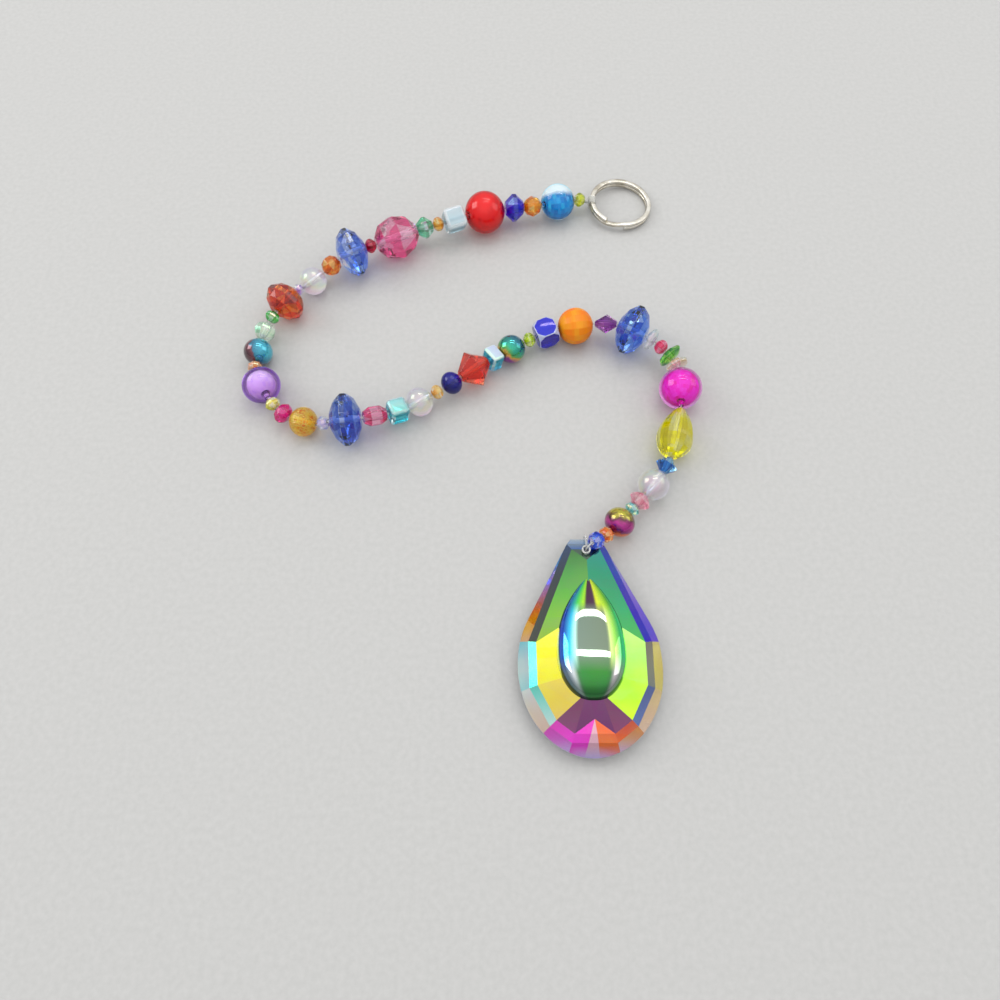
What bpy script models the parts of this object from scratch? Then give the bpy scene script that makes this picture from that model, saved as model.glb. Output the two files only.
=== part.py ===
"""Beaded crystal suncatcher, laid out flat in an S curve.

A steel split ring, fifty-one glass and acrylic beads on one knotted nylon thread, and a cut
crystal drop with a raised cabochon. Sizes are in millimetres and turned to metres by MM.
The frame is +Z up, with the origin under the middle of the whole object.
"""

import math

import bmesh
import bpy
from mathutils import Matrix, Vector

MM = 0.001

# Clearances
GAP = 0.2  # between neighbouring solids that touch in the real object

# Stringing thread
THREAD_DIAMETER = 0.45
THREAD_SIDES = 6
KNOT_DIAMETER = 1.4
KNOT_OVER_TIP = 1.5  # how far the last knot sits above the drop's tip
RING_LOOP_SLACK = 0.35  # between the ring's wire and the thread's loop

# Split ring: two turns of flattened wire
RING_OUTER = 20.0
RING_WIRE_WIDTH = 1.5
RING_WIRE_HEIGHT = 1.05
RING_TURN_GAP = 0.12
RING_TURNS = 1.9
RING_LIFT = 1.7  # how far the thread holds the near side off the table
RING_STEPS = 48
RING_EDGE = 0.28  # eased corner of the wire
RING_CROSSING = 0.14  # share of a turn in which one turn climbs over the other
RING_END_TURN = 0.76  # where the wire starts, in turns from +X

# Crystal drop, measured from the round end (y = 0) to the tip
DROP_LENGTH = 54.8
DROP_WIDTH = 35.2
DROP_TIP_WIDTH = 7.2
DROP_BELLY = 21.6  # height of the widest place above the round end
DROP_BACK_SLOPE = 28.0
CROWN_INSET = 3.9  # from the drop's outline to the crown's outer corners
CROWN_CORNERS = (16, -18, -50, -70)  # directions of the corners from the belly, in degrees
DROP_CROWN_HEIGHT = 7.4  # height of the edge between crown and bevel facets
DROP_TIP_HEIGHT = 6.2
DROP_SHOULDER_HEIGHT = 8.2  # height of the crown at the cabochon
DROP_BEVEL_WIDTH = 1.9
DROP_BEVEL_SLOPES = (30.0, 43.0)
DROP_HOLE = 1.9
DROP_HOLE_SIDES = 12
DROP_HOLE_FROM_TIP = 4.3
DROP_TIP_UNDERCUT = 9.5  # where the back starts to rise towards the tip
DROP_TIP_UNDERCUT_SLOPE = 14.0
CABOCHON_LENGTH = 31.5
CABOCHON_WIDTH = 16.8
CABOCHON_START = 11.9  # its round end above the drop's round end
CABOCHON_BELLY = 11.3
CABOCHON_TOP = 12.6  # height of its crest above the drop's back
CABOCHON_BASE = 6.5  # how high its sides start, inside the crown
CABOCHON_FULLNESS = 2.3  # power of its outline from the belly to the point

# Bead holes
SMALL_BORE = 1.1
LARGE_BORE = 1.4
BORE_SIDES = 6

# Bead sizes, across and along the thread
SEED_DIAMETER, SEED_LENGTH = 4.3, 3.45
SIX_DIAMETER, SIX_LENGTH = 6.2, 5.6
EIGHT_DIAMETER = 8.3
SAPPHIRE_DIAMETER, SAPPHIRE_LENGTH = 14.8, 8.3
DISC_LENGTH = 2.9
CUBE_SIZE = 6.6

# The thread's route over the table, from the split ring to the crystal drop, chosen by eye
ROUTE = (
    (26.7, 194.7),
    (17.4, 192.8),
    (9.1, 190.3),
    (-6.1, 187.8),
    (-15.2, 184.1),
    (-24.9, 180.6),
    (-33.4, 176.8),
    (-41.9, 172.4),
    (-47.9, 169.3),
    (-53.6, 165.4),
    (-58.9, 160.9),
    (-65.8, 150.6),
    (-70.0, 142.0),
    (-70.9, 134.0),
    (-70.4, 128.0),
    (-67.1, 121.4),
    (-60.6, 114.6),
    (-54.4, 112.2),
    (-48.4, 111.2),
    (-42.1, 111.2),
    (-34.6, 113.2),
    (-28.7, 115.9),
    (-23.1, 119.1),
    (-14.2, 124.9),
    (-7.7, 129.5),
    (3.4, 137.7),
    (13.3, 142.4),
    (21.7, 144.9),
    (30.2, 144.9),
    (37.1, 142.0),
    (43.6, 138.0),
    (47.4, 134.0),
    (49.9, 130.4),
    (50.9, 124.4),
    (48.7, 110.2),
    (45.3, 99.9),
    (41.2, 94.0),
    (37.4, 89.3),
    (31.4, 82.9),
    (28.0, 79.2),
    (24.6, 76.1),
    (22.0, 74.0),
)
ROUTE_START = 0.01  # free thread between the first route point and the first bead
ROUTE_STEPS = 24  # curve points in each stretch of the route

RING_TO_BEAD = 2.4  # from the middle of the ring's wire to the first bead
RING_THREAD_HEIGHT = 3.9
DROP_TO_BEAD = 1.3  # from the last bead to the middle of the drop's hole
DROP_THREAD_HEIGHT = 9.3

# Rings of facet corners: share of the length, share of the radius, twist in half sides
CUTS = {
    "bicone": ((-0.5, 0.3, 0), (0, 1, 0), (0.5, 0.3, 0)),
    "rondelle": ((-0.5, 0.5, 1), (-0.1, 1, 0), (0.1, 1, 0), (0.5, 0.5, 1)),
    "disc": ((-0.5, 0.42, 1), (-0.08, 1, 0), (0.08, 1, 0), (0.5, 0.42, 1)),
    "wide_rondelle": (
        (-0.5, 0.36, 0),
        (-0.33, 0.76, 1),
        (-0.08, 1, 0),
        (0.08, 1, 0),
        (0.33, 0.76, 1),
        (0.5, 0.36, 0),
    ),
    "fire_polished": (
        (-0.5, 0.34, 1),
        (-0.34, 0.76, 0),
        (-0.02, 1, 1),
        (0.02, 1, 1),
        (0.34, 0.76, 0),
        (0.5, 0.34, 1),
    ),
    "barrel": ((-0.5, 0.6, 0), (-0.24, 0.97, 1), (0.24, 0.97, 1), (0.5, 0.6, 0)),
    "drop": (
        (-0.5, 0.17, 0),
        (-0.26, 0.5, 1),
        (0, 0.84, 0),
        (0.2, 1, 1),
        (0.38, 0.8, 0),
        (0.5, 0.4, 1),
    ),
}

# Name, cut, diameter, length, sides, colour, whether it rests on the table
BEADS = (
    ("citrine_seed", "rondelle", SEED_DIAMETER, SEED_LENGTH, 8, "D8D64A", False),
    ("azure_core_round", "round", 11.0, 10.6, 16, "1583CF", True),
    ("orange_round_small", "fire_polished", SIX_DIAMETER, SIX_LENGTH, 8, "EE8A1D", False),
    ("cobalt_rondelle", "rondelle", 8.3, 5.6, 10, "2A1FA6", False),
    ("red_core_round", "round", 12.8, 12.5, 16, "F0120F", True),
    ("opal_cube", "cube", CUBE_SIZE, CUBE_SIZE, 4, "C9DCDD", False),
    ("amber_seed_a", "rondelle", SEED_DIAMETER, SEED_LENGTH, 8, "E6A640", False),
    ("emerald_rondelle", "rondelle", 6.6, 4.9, 8, "3FBF86", False),
    ("rose_crystal_round", "fire_polished", 13.2, 13.2, 10, "E2588B", True),
    ("garnet_seed", "fire_polished", SEED_DIAMETER, SEED_LENGTH, 8, "B4102B", False),
    ("sapphire_rondelle_a", "wide_rondelle", SAPPHIRE_DIAMETER, SAPPHIRE_LENGTH, 12, "3A55D6", True),
    ("orange_round_b", "fire_polished", SIX_DIAMETER, SIX_LENGTH, 8, "EC7414", False),
    ("clear_round_a", "round", EIGHT_DIAMETER, 8.0, 16, "E6E4EA", True),
    ("lilac_spacer", "bicone", 3.4, 2.7, 8, "BFA3D9", False),
    ("vermilion_rondelle", "wide_rondelle", 12.2, 8.6, 10, "D8360E", True),
    ("peridot_seed", "fire_polished", SEED_DIAMETER, SEED_LENGTH, 8, "35B84A", False),
    ("pale_green_crystal", "fire_polished", SIX_DIAMETER, SIX_LENGTH, 8, "D3E6CB", False),
    ("iris_round_brown", "round", EIGHT_DIAMETER, 7.8, 16, "4C2C34", True),
    ("orange_seed_a", "rondelle", SEED_DIAMETER, 3.0, 8, "F0A060", False),
    ("violet_core_round", "round", 10.8, 10.1, 16, "7B3FA8", True),
    ("lemon_seed", "fire_polished", SEED_DIAMETER, SEED_LENGTH, 8, "EBDD6A", False),
    ("fuchsia_rondelle", "fire_polished", SIX_DIAMETER, 4.0, 8, "D0127E", False),
    ("honey_crackle_round", "fire_polished", 8.5, 7.8, 12, "F0AE2A", True),
    ("lilac_seed", "bicone", 3.9, 3.5, 6, "B59BD6", False),
    ("sapphire_rondelle_b", "wide_rondelle", SAPPHIRE_DIAMETER, SAPPHIRE_LENGTH, 12, "3350B8", True),
    ("rose_barrel", "barrel", 5.7, 6.4, 8, "E0457C", False),
    ("teal_cube", "cube", 5.7, 5.5, 4, "2E9A9C", False),
    ("clear_round_b", "round", EIGHT_DIAMETER, 7.5, 16, "E8DFE6", True),
    ("amber_seed_b", "rondelle", SEED_DIAMETER, SEED_LENGTH, 8, "EBB45A", False),
    ("navy_round", "round", 6.6, 5.8, 12, "1B1A8C", False),
    ("scarlet_bicone", "bicone", 11.0, 9.1, 8, "E63418", True),
    ("teal_tile", "cube", 5.6, 4.0, 4, "8CC4CC", False),
    ("iris_round_green", "round", EIGHT_DIAMETER, 8.2, 16, "2E8F7C", True),
    ("lime_seed", "fire_polished", SEED_DIAMETER, SEED_LENGTH, 8, "C3D63A", False),
    ("cobalt_cube", "cube", 6.4, 6.3, 4, "3A3FC4", False),
    ("tangerine_round", "fire_polished", 10.8, 10.3, 12, "F79A1C", True),
    ("amethyst_bicone", "bicone", 5.6, 6.4, 8, "A33E94", False),
    ("sapphire_rondelle_c", "wide_rondelle", SAPPHIRE_DIAMETER, SAPPHIRE_LENGTH, 12, "2F55C8", True),
    ("clear_disc", "disc", 6.6, DISC_LENGTH, 8, "EDEDEA", False),
    ("coral_seed", "fire_polished", SEED_DIAMETER, 3.6, 8, "E8486E", False),
    ("green_disc", "disc", 7.6, DISC_LENGTH, 8, "4FA83A", False),
    ("peach_disc", "disc", 6.8, DISC_LENGTH, 8, "EFDCD2", False),
    ("magenta_core_round", "round", 12.0, 11.7, 16, "E618B8", True),
    ("lemon_drop", "drop", 10.3, 15.6, 8, "E3D21C", False),
    ("navy_bicone", "bicone", 6.1, 4.6, 8, "1F4C96", False),
    ("clear_round_c", "round", 8.6, 8.4, 16, "E4E6DF", True),
    ("pink_rondelle", "rondelle", 6.1, 3.5, 8, "EBA3AC", False),
    ("aqua_spacer", "bicone", 4.2, 2.4, 8, "A9D4CE", False),
    ("iris_round_magenta", "round", EIGHT_DIAMETER, 7.5, 16, "A3307E", True),
    ("orange_seed_b", "rondelle", SEED_DIAMETER, 3.3, 8, "F09444", False),
    ("cobalt_seed", "fire_polished", 4.6, 4.0, 8, "2340C4", False),
)
LARGE_BEAD = 5.0  # beads wider than this have the larger hole
SPIN_STEP = 37.0  # degrees that each bead is turned about the thread past the last
CUBE_EDGE = 0.6


def new_collection(name):
    collection = bpy.data.collections.new(name)
    bpy.context.scene.collection.children.link(collection)
    return collection


def colour_of(hexadecimal):
    """The linear colour of an sRGB hex value."""
    channels = []
    for start in (0, 2, 4):
        value = int(hexadecimal[start : start + 2], 16) / 255
        channels.append(value / 12.92 if value <= 0.04045 else ((value + 0.055) / 1.055) ** 2.4)
    return (*channels, 1)


def material(name, hexadecimal, roughness=0.05, metallic=0.0):
    made = bpy.data.materials.new(name)
    made.use_nodes = True
    shader = made.node_tree.nodes["Principled BSDF"]
    shader.inputs["Base Color"].default_value = colour_of(hexadecimal)
    shader.inputs["Roughness"].default_value = roughness
    shader.inputs["Metallic"].default_value = metallic
    made.diffuse_color = colour_of(hexadecimal)
    return made


def object_from(bm, name, collection):
    """A new object that holds this bmesh, which is freed."""
    mesh = bpy.data.meshes.new(name)
    bmesh.ops.recalc_face_normals(bm, faces=bm.faces)
    bm.to_mesh(mesh)
    bm.free()
    made = bpy.data.objects.new(name, mesh)
    collection.objects.link(made)
    return made


def mesh_of(curve_object, name, collection):
    """The curve as a mesh object, with its caps welded, in place of the curve."""
    graph = bpy.context.evaluated_depsgraph_get()
    mesh = bpy.data.meshes.new_from_object(curve_object.evaluated_get(graph))
    bm = bmesh.new()
    bm.from_mesh(mesh)
    bmesh.ops.remove_doubles(bm, verts=bm.verts, dist=0.001 * MM)
    bmesh.ops.recalc_face_normals(bm, faces=bm.faces)
    bm.to_mesh(mesh)
    bm.free()
    made = bpy.data.objects.new(name, mesh)
    made.matrix_world = curve_object.matrix_world
    collection.objects.link(made)
    bpy.data.objects.remove(curve_object)
    return made


def combine(target, other, operation):
    """Joins other to target, or cuts it away, and removes other."""
    modifier = target.modifiers.new(operation, "BOOLEAN")
    modifier.operation = operation
    modifier.object = other
    modifier.solver = "EXACT"
    bpy.context.view_layer.update()
    graph = bpy.context.evaluated_depsgraph_get()
    mesh = bpy.data.meshes.new_from_object(target.evaluated_get(graph))
    target.modifiers.clear()
    target.data = mesh
    bpy.data.objects.remove(other)


def tube(name, points, diameter, sides, collection):
    """A round wire of this diameter through the points."""
    curve = bpy.data.curves.new(name, "CURVE")
    curve.dimensions = "3D"
    curve.bevel_depth = diameter * MM / 2
    curve.bevel_resolution = sides // 2 - 2
    curve.use_fill_caps = True
    spline = curve.splines.new("POLY")
    spline.points.add(len(points) - 1)
    for spot, point in zip(spline.points, points):
        spot.co = (*(Vector(point) * MM), 1)
    made = bpy.data.objects.new(name, curve)
    collection.objects.link(made)
    bpy.context.view_layer.update()
    return mesh_of(made, name, collection)


# The route

def smooth_line(points, steps):
    """Points close together on a smooth curve through the ones given."""
    points = [Vector(point) for point in points]
    ends = [2 * points[0] - points[1], *points, 2 * points[-1] - points[-2]]
    line = []
    for before, start, end, after in zip(ends, ends[1:], ends[2:], ends[3:]):
        for step in range(steps):
            t = step / steps
            line.append(
                0.5
                * (
                    2 * start
                    + (end - before) * t
                    + (2 * before - 5 * start + 4 * end - after) * t**2
                    + (3 * start - before - 3 * end + after) * t**3
                )
            )
    line.append(points[-1])
    return line


def smooth_route():
    """The route as a fine line, carried straight on past its end for longer beads."""
    line = smooth_line(ROUTE, ROUTE_STEPS)
    straight_on = (line[-1] - line[-2]).normalized()
    line.append(line[-1] + straight_on * sum(bead[3] for bead in BEADS))
    return line


def next_on_route(points, at, here, chord):
    """The first point of the route past here that is a chord away, with the stretch it is on."""
    while (points[at + 1] - here).length < chord:
        at += 1
    start, end = points[at], points[at + 1]
    low, high = 0.0, 1.0
    for _ in range(40):
        middle = (low + high) / 2
        if (start.lerp(end, middle) - here).length < chord:
            low = middle
        else:
            high = middle
    return at, start.lerp(end, high)


def end_radius(bead):
    """How far from the thread a bead's end face reaches."""
    _, cut, diameter, _, _, _, _ = bead
    if cut == "round":
        return LARGE_BORE / 2
    if cut == "cube":
        return (diameter / 2 - CUBE_EDGE) * math.sqrt(2)
    return CUTS[cut][0][1] * diameter / 2


def joints_on_table():
    """The places on the table where one bead meets the next, far enough apart at each bend."""
    points = smooth_route()
    gaps = [GAP] * (len(BEADS) + 1)
    for _ in range(3):
        at, first = next_on_route(points, 0, points[0], ROUTE_START)
        joints = [first]
        for number, bead in enumerate(BEADS):
            chord = bead[3] + (gaps[number] + gaps[number + 1]) / 2
            at, place = next_on_route(points, at, joints[-1], chord)
            joints.append(place)
        for number in range(1, len(BEADS)):
            before = joints[number] - joints[number - 1]
            after = joints[number + 1] - joints[number]
            bend = before.angle(after) / 2
            reach = end_radius(BEADS[number - 1]) + end_radius(BEADS[number])
            gaps[number] = GAP + reach * math.tan(bend)
    return joints


def resting_height(bead, spin):
    """The height of the thread in a bead that lies on the table."""
    _, cut, diameter, _, sides, _, _ = bead
    if cut == "round":
        return diameter / 2
    half_side = math.pi / sides
    widest = max(CUTS[cut], key=lambda ring: ring[1])
    angles = [math.radians(spin) + (2 * k + widest[2]) * half_side for k in range(sides)]
    return max(math.cos(angle) for angle in angles) * diameter / 2


def thread_joints():
    """The joints between beads, raised to the height at which the beads carry the thread."""
    flat = joints_on_table()
    known = {0: RING_THREAD_HEIGHT, len(BEADS): DROP_THREAD_HEIGHT}
    for number, bead in enumerate(BEADS):
        if bead[6]:
            height = resting_height(bead, number * SPIN_STEP)
            for joint in (number, number + 1):
                known[joint] = max(known.get(joint, 0), height)
    run = [0.0]
    for start, end in zip(flat, flat[1:]):
        run.append(run[-1] + (end - start).length)
    raised = []
    fixed = sorted(known)
    for number, place in enumerate(flat):
        low = max(joint for joint in fixed if joint <= number)
        high = min(joint for joint in fixed if joint >= number)
        share = 0 if low == high else (run[number] - run[low]) / (run[high] - run[low])
        height = known[low] + (known[high] - known[low]) * share
        raised.append(Vector((place.x, place.y, height)))
    return raised


# Beads

def bead_frame(start, end, spin):
    """The matrix that lays a bead, made along its own Z, between two joints of the thread."""
    along = (end - start).normalized()
    across = Vector((0, 0, 1)).cross(along).normalized()
    up = along.cross(across)
    turn = Matrix((across, up, along)).transposed().to_4x4()
    place = Matrix.Translation((start + end) / 2 * MM)
    return place @ turn @ Matrix.Rotation(math.radians(spin), 4, "Z")


def cut_body(bead, collection):
    """The faceted body of a bead, as the hull of its rings of corners."""
    name, cut, diameter, length, sides, _, _ = bead
    bm = bmesh.new()
    for station, radius, twist in CUTS[cut]:
        turn = Matrix.Rotation(twist * math.pi / sides, 4, "Z")
        bmesh.ops.create_circle(
            bm,
            segments=sides,
            radius=radius * diameter * MM / 2,
            matrix=Matrix.Translation((0, 0, station * length * MM)) @ turn,
        )
    bmesh.ops.convex_hull(bm, input=bm.verts)
    bmesh.ops.dissolve_limit(
        bm, angle_limit=math.radians(0.5), verts=bm.verts, edges=bm.edges
    )
    return object_from(bm, name, collection)


def round_body(bead, collection):
    """A smooth round bead, whose length may differ a little from its width."""
    name, _, diameter, length, sides, _, _ = bead
    rings = 8 if diameter > EIGHT_DIAMETER + 1 else 6
    bm = bmesh.new()
    bmesh.ops.create_uvsphere(
        bm, u_segments=sides, v_segments=rings, radius=diameter * MM / 2
    )
    bmesh.ops.scale(bm, vec=(1, 1, length / diameter), verts=bm.verts)
    made = object_from(bm, name, collection)
    made.data.shade_smooth()
    return made


def cube_body(bead, collection):
    """A cube bead with eased edges."""
    name, _, diameter, length, _, _, _ = bead
    bm = bmesh.new()
    bmesh.ops.create_cube(bm, size=MM)
    bmesh.ops.scale(bm, vec=(diameter, diameter, length), verts=bm.verts)
    bmesh.ops.bevel(
        bm, geom=bm.edges[:], offset=CUBE_EDGE * MM, segments=1, affect="EDGES"
    )
    return object_from(bm, name, collection)


def cylinder(diameter, length, sides, collection, centre=(0, 0, 0)):
    bm = bmesh.new()
    bmesh.ops.create_cone(
        bm,
        cap_ends=True,
        segments=sides,
        radius1=diameter * MM / 2,
        radius2=diameter * MM / 2,
        depth=length * MM,
        matrix=Matrix.Translation(Vector(centre) * MM),
    )
    return object_from(bm, "cutter", collection)


def make_bead(number, bead, joints, parts, cutters):
    """One bead, drilled along its length and laid on the thread."""
    name, cut, diameter, length, _, colour, _ = bead
    name = f"bead_{number + 1:02d}_{name}"
    if cut == "round":
        made = round_body(bead, parts)
    elif cut == "cube":
        made = cube_body(bead, parts)
    else:
        made = cut_body(bead, parts)
    bore = LARGE_BORE if diameter > LARGE_BEAD else SMALL_BORE
    combine(made, cylinder(bore, 2 * length, BORE_SIDES, cutters), "DIFFERENCE")
    made.name = name
    made.data.name = name
    made.data.materials.clear()
    made.data.materials.append(material(name, colour))
    spin = 0 if cut in ("cube", "round") else number * SPIN_STEP
    made.matrix_world = bead_frame(joints[number], joints[number + 1], spin)
    return made


# Crystal drop

def tangent_slope():
    """The slope of the drop's straight side, which touches the ellipse of its round end."""
    width, belly = DROP_WIDTH / 2, DROP_BELLY
    tip, rise = DROP_TIP_WIDTH / 2, DROP_LENGTH - DROP_BELLY
    a = rise**2 - belly**2
    b = 2 * tip * rise
    c = tip**2 - width**2
    return (-b + math.sqrt(b * b - 4 * a * c)) / (2 * a)


def drop_outline(steps=22):
    """The drop's outline from above: an ellipse below, straight sides, and a blunt tip."""
    width, belly = DROP_WIDTH / 2, DROP_BELLY
    slope = tangent_slope()
    reach = DROP_TIP_WIDTH / 2 + slope * (DROP_LENGTH - belly)
    touch = math.asin(slope * belly**2 / reach / belly)
    half = []
    for step in range(steps + 1):
        angle = -math.pi / 2 + (math.pi / 2 + touch) * step / steps
        half.append((width * math.cos(angle), belly + belly * math.sin(angle)))
    half.append((DROP_TIP_WIDTH / 2, DROP_LENGTH))
    return half + [(-x, y) for x, y in reversed(half) if x > 0.01]


def crown_polygon():
    """The crown's outer corners all round, from the left of the tip, with their heights."""
    right = [Vector((DROP_TIP_WIDTH / 2, DROP_LENGTH - CROWN_INSET, DROP_TIP_HEIGHT))]
    for degrees in CROWN_CORNERS:
        angle = math.radians(degrees)
        x = (DROP_WIDTH / 2 - CROWN_INSET) * math.cos(angle)
        y = DROP_BELLY + (DROP_BELLY - CROWN_INSET) * math.sin(angle)
        right.append(Vector((x, y, DROP_CROWN_HEIGHT)))
    left = [Vector((-corner.x, corner.y, corner.z)) for corner in right]
    return right + left[::-1]


def cut_flat(bm, point, normal):
    """Grinds away what lies past a plane, and closes the body there."""
    cut = bmesh.ops.bisect_plane(
        bm,
        geom=bm.verts[:] + bm.edges[:] + bm.faces[:],
        dist=1e-7,
        plane_co=Vector(point) * MM,
        plane_no=normal,
        clear_outer=True,
    )
    edges = [item for item in cut["geom_cut"] if isinstance(item, bmesh.types.BMEdge)]
    if edges:
        bmesh.ops.contextual_create(bm, geom=edges)


def facet_normal(start, end, inner):
    """The upward normal of the plane through three points."""
    normal = (end - start).cross(inner - start).normalized()
    return normal if normal.z > 0 else -normal


def tilted(outward, slope):
    """The normal of a facet that falls away in a direction at this slope."""
    angle = math.radians(slope)
    return outward * math.sin(angle) + Vector((0, 0, math.cos(angle)))


def cut_crown(bm):
    """The crown facets, which rise to the cabochon, and the two bevels outside them."""
    corners = crown_polygon()
    middle = Vector((0, CABOCHON_START + CABOCHON_LENGTH / 2, DROP_SHOULDER_HEIGHT))
    for start, end in zip(corners, corners[1:] + corners[:1]):
        along = (end - start).normalized()
        outward = along.cross(Vector((0, 0, 1))).normalized()
        if outward.dot(start - middle) < 0:
            outward = -outward
        foot = start.lerp(end, 0.5) - outward * (DROP_WIDTH - CABOCHON_WIDTH) / 4
        shoulder = Vector((foot.x, foot.y, DROP_SHOULDER_HEIGHT))
        cut_flat(bm, start, facet_normal(start, end, shoulder))
        near, far = DROP_BEVEL_SLOPES
        fall = DROP_BEVEL_WIDTH * math.tan(math.radians(near))
        step = outward * DROP_BEVEL_WIDTH - Vector((0, 0, fall))
        for origin, slope in ((Vector(), near), (step, far)):
            past = outward - Vector((0, 0, math.tan(math.radians(slope))))
            cut_flat(bm, start + origin, facet_normal(start, end, start + past))


def cut_back(bm):
    """The bevels round the flat back, and the rise under the tip that clears the thread."""
    corners = crown_polygon()
    for start, end in zip(corners, corners[1:] + corners[:1]):
        along = Vector((end.x - start.x, end.y - start.y, 0)).normalized()
        outward = along.cross(Vector((0, 0, 1)))
        if outward.dot(start - Vector((0, DROP_BELLY, 0))) < 0:
            outward = -outward
        normal = tilted(outward, DROP_BACK_SLOPE)
        cut_flat(bm, (start.x, start.y, 0), Vector((normal.x, normal.y, -normal.z)))
    normal = tilted(Vector((0, 1, 0)), DROP_TIP_UNDERCUT_SLOPE)
    start = (0, DROP_LENGTH - DROP_TIP_UNDERCUT, 0)
    cut_flat(bm, start, Vector((0, normal.y, -normal.z)))


def cabochon_half_width(share):
    """The cabochon's half width at a share of its length, from its round end to its point."""
    belly = CABOCHON_BELLY / CABOCHON_LENGTH
    if share < belly:
        return CABOCHON_WIDTH / 2 * math.sqrt(1 - (1 - share / belly) ** 2)
    rise = (share - belly) / (1 - belly)
    return CABOCHON_WIDTH / 2 * (1 - rise**CABOCHON_FULLNESS)


def cabochon(collection):
    """The smooth raised drop in the middle of the crown."""
    bm = bmesh.new()
    steps, levels = 14, 5
    for level in range(levels + 1):
        lift = math.radians(90 * level / levels)
        spread = math.cos(lift) if level else 1
        height = CABOCHON_BASE + (CABOCHON_TOP - CABOCHON_BASE) * math.sin(lift)
        middle = CABOCHON_START + CABOCHON_BELLY
        for step in range(steps + 1):
            share = (1 - math.cos(math.pi * step / steps)) / 2
            y = CABOCHON_START + share * CABOCHON_LENGTH
            for side in (-1, 1):
                x = side * cabochon_half_width(share) * spread
                y_here = middle + (y - middle) * spread
                bm.verts.new(Vector((x, y_here, height)) * MM)
    bmesh.ops.remove_doubles(bm, verts=bm.verts, dist=0.05 * MM)
    hull = bmesh.ops.convex_hull(bm, input=bm.verts)
    inside = [item for item in hull["geom_interior"] if isinstance(item, bmesh.types.BMVert)]
    bmesh.ops.delete(bm, geom=inside, context="VERTS")
    return object_from(bm, "cabochon", collection)


def make_drop(parts, cutters):
    """The crystal drop, lying on its flat back with its tip towards +Y."""
    bm = bmesh.new()
    outline = [bm.verts.new((x * MM, y * MM, 0)) for x, y in drop_outline()]
    blank = bm.faces.new(outline)
    thick = CABOCHON_TOP * MM
    raised = bmesh.ops.extrude_face_region(bm, geom=[blank])
    top = [item for item in raised["geom"] if isinstance(item, bmesh.types.BMVert)]
    bmesh.ops.translate(bm, verts=top, vec=(0, 0, thick))
    bmesh.ops.recalc_face_normals(bm, faces=bm.faces)
    cut_crown(bm)
    cut_back(bm)
    made = object_from(bm, "crystal_drop", parts)
    combine(made, cabochon(cutters), "UNION")
    hole_at = (0, DROP_LENGTH - DROP_HOLE_FROM_TIP, 0)
    combine(made, cylinder(DROP_HOLE, 4 * CABOCHON_TOP, DROP_HOLE_SIDES, cutters, hole_at), "DIFFERENCE")
    made.name = "crystal_drop"
    made.data.materials.clear()
    made.data.materials.append(material("aurora_crystal", "9FC06A", 0.03, 0.2))
    return made


# Split ring

def ring_centre_line():
    """The middle of the ring's wire: two level turns with a crossing between them."""
    radius = (RING_OUTER - RING_WIRE_WIDTH) / 2
    pitch = RING_WIRE_HEIGHT + RING_TURN_GAP
    points = []
    for step in range(RING_STEPS + 1):
        turn = RING_TURNS * step / RING_STEPS
        share = min(1, max(0, (turn - RING_TURNS / 2) / RING_CROSSING + 0.5))
        height = pitch * share * share * (3 - 2 * share)
        angle = 2 * math.pi * (turn + RING_END_TURN)
        points.append((radius * math.cos(angle), radius * math.sin(angle), height))
    return points


def make_ring(parts, cutters, near_side, towards):
    """The split ring, with its near side held up by the thread and its far side on the table."""
    profile = bpy.data.curves.new("ring_wire_section", "CURVE")
    profile.dimensions = "2D"
    spline = profile.splines.new("POLY")
    wide, high, eased = RING_WIRE_WIDTH / 2, RING_WIRE_HEIGHT / 2, RING_EDGE
    section = [(wide, high - eased), (wide - eased, high), (eased - wide, high), (-wide, high - eased)]
    section += [(-x, -y) for x, y in section]
    spline.points.add(len(section) - 1)
    for spot, (x, y) in zip(spline.points, section):
        spot.co = (x * MM, y * MM, 0, 1)
    spline.use_cyclic_u = True
    guide = bpy.data.objects.new("ring_wire_section", profile)
    guide.hide_render = True
    cutters.objects.link(guide)
    curve = bpy.data.curves.new("split_ring", "CURVE")
    curve.dimensions = "3D"
    curve.twist_mode = "Z_UP"
    curve.bevel_mode = "OBJECT"
    curve.bevel_object = guide
    curve.use_fill_caps = True
    wire = curve.splines.new("POLY")
    line = ring_centre_line()
    wire.points.add(len(line) - 1)
    for spot, point in zip(wire.points, line):
        spot.co = (*(Vector(point) * MM), 1)
    made = bpy.data.objects.new("split_ring", curve)
    parts.objects.link(made)
    bpy.context.view_layer.update()
    made = mesh_of(made, "split_ring", parts)
    bpy.data.objects.remove(guide)
    made.name = "split_ring"
    made.data.materials.clear()
    made.data.materials.append(material("nickel_steel", "C9C4B4", 0.22, 1.0))
    tilt = math.asin(RING_LIFT / RING_OUTER)
    centre = near_side + towards * (RING_OUTER / 2 - RING_WIRE_WIDTH / 2)
    height = RING_WIRE_HEIGHT / 2 + RING_LIFT / 2
    across = Vector((-towards.y, towards.x, 0))
    lean = Matrix.Rotation(tilt, 4, across)
    made.matrix_world = Matrix.Translation(Vector((centre.x, centre.y, height)) * MM) @ lean
    return made


# Thread

def height_under(past_hole):
    """The height of the drop's back above the table, this far past the hole towards the tip."""
    rise = math.tan(math.radians(DROP_TIP_UNDERCUT_SLOPE))
    return (DROP_TIP_UNDERCUT - DROP_HOLE_FROM_TIP + past_hole) * rise


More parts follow.
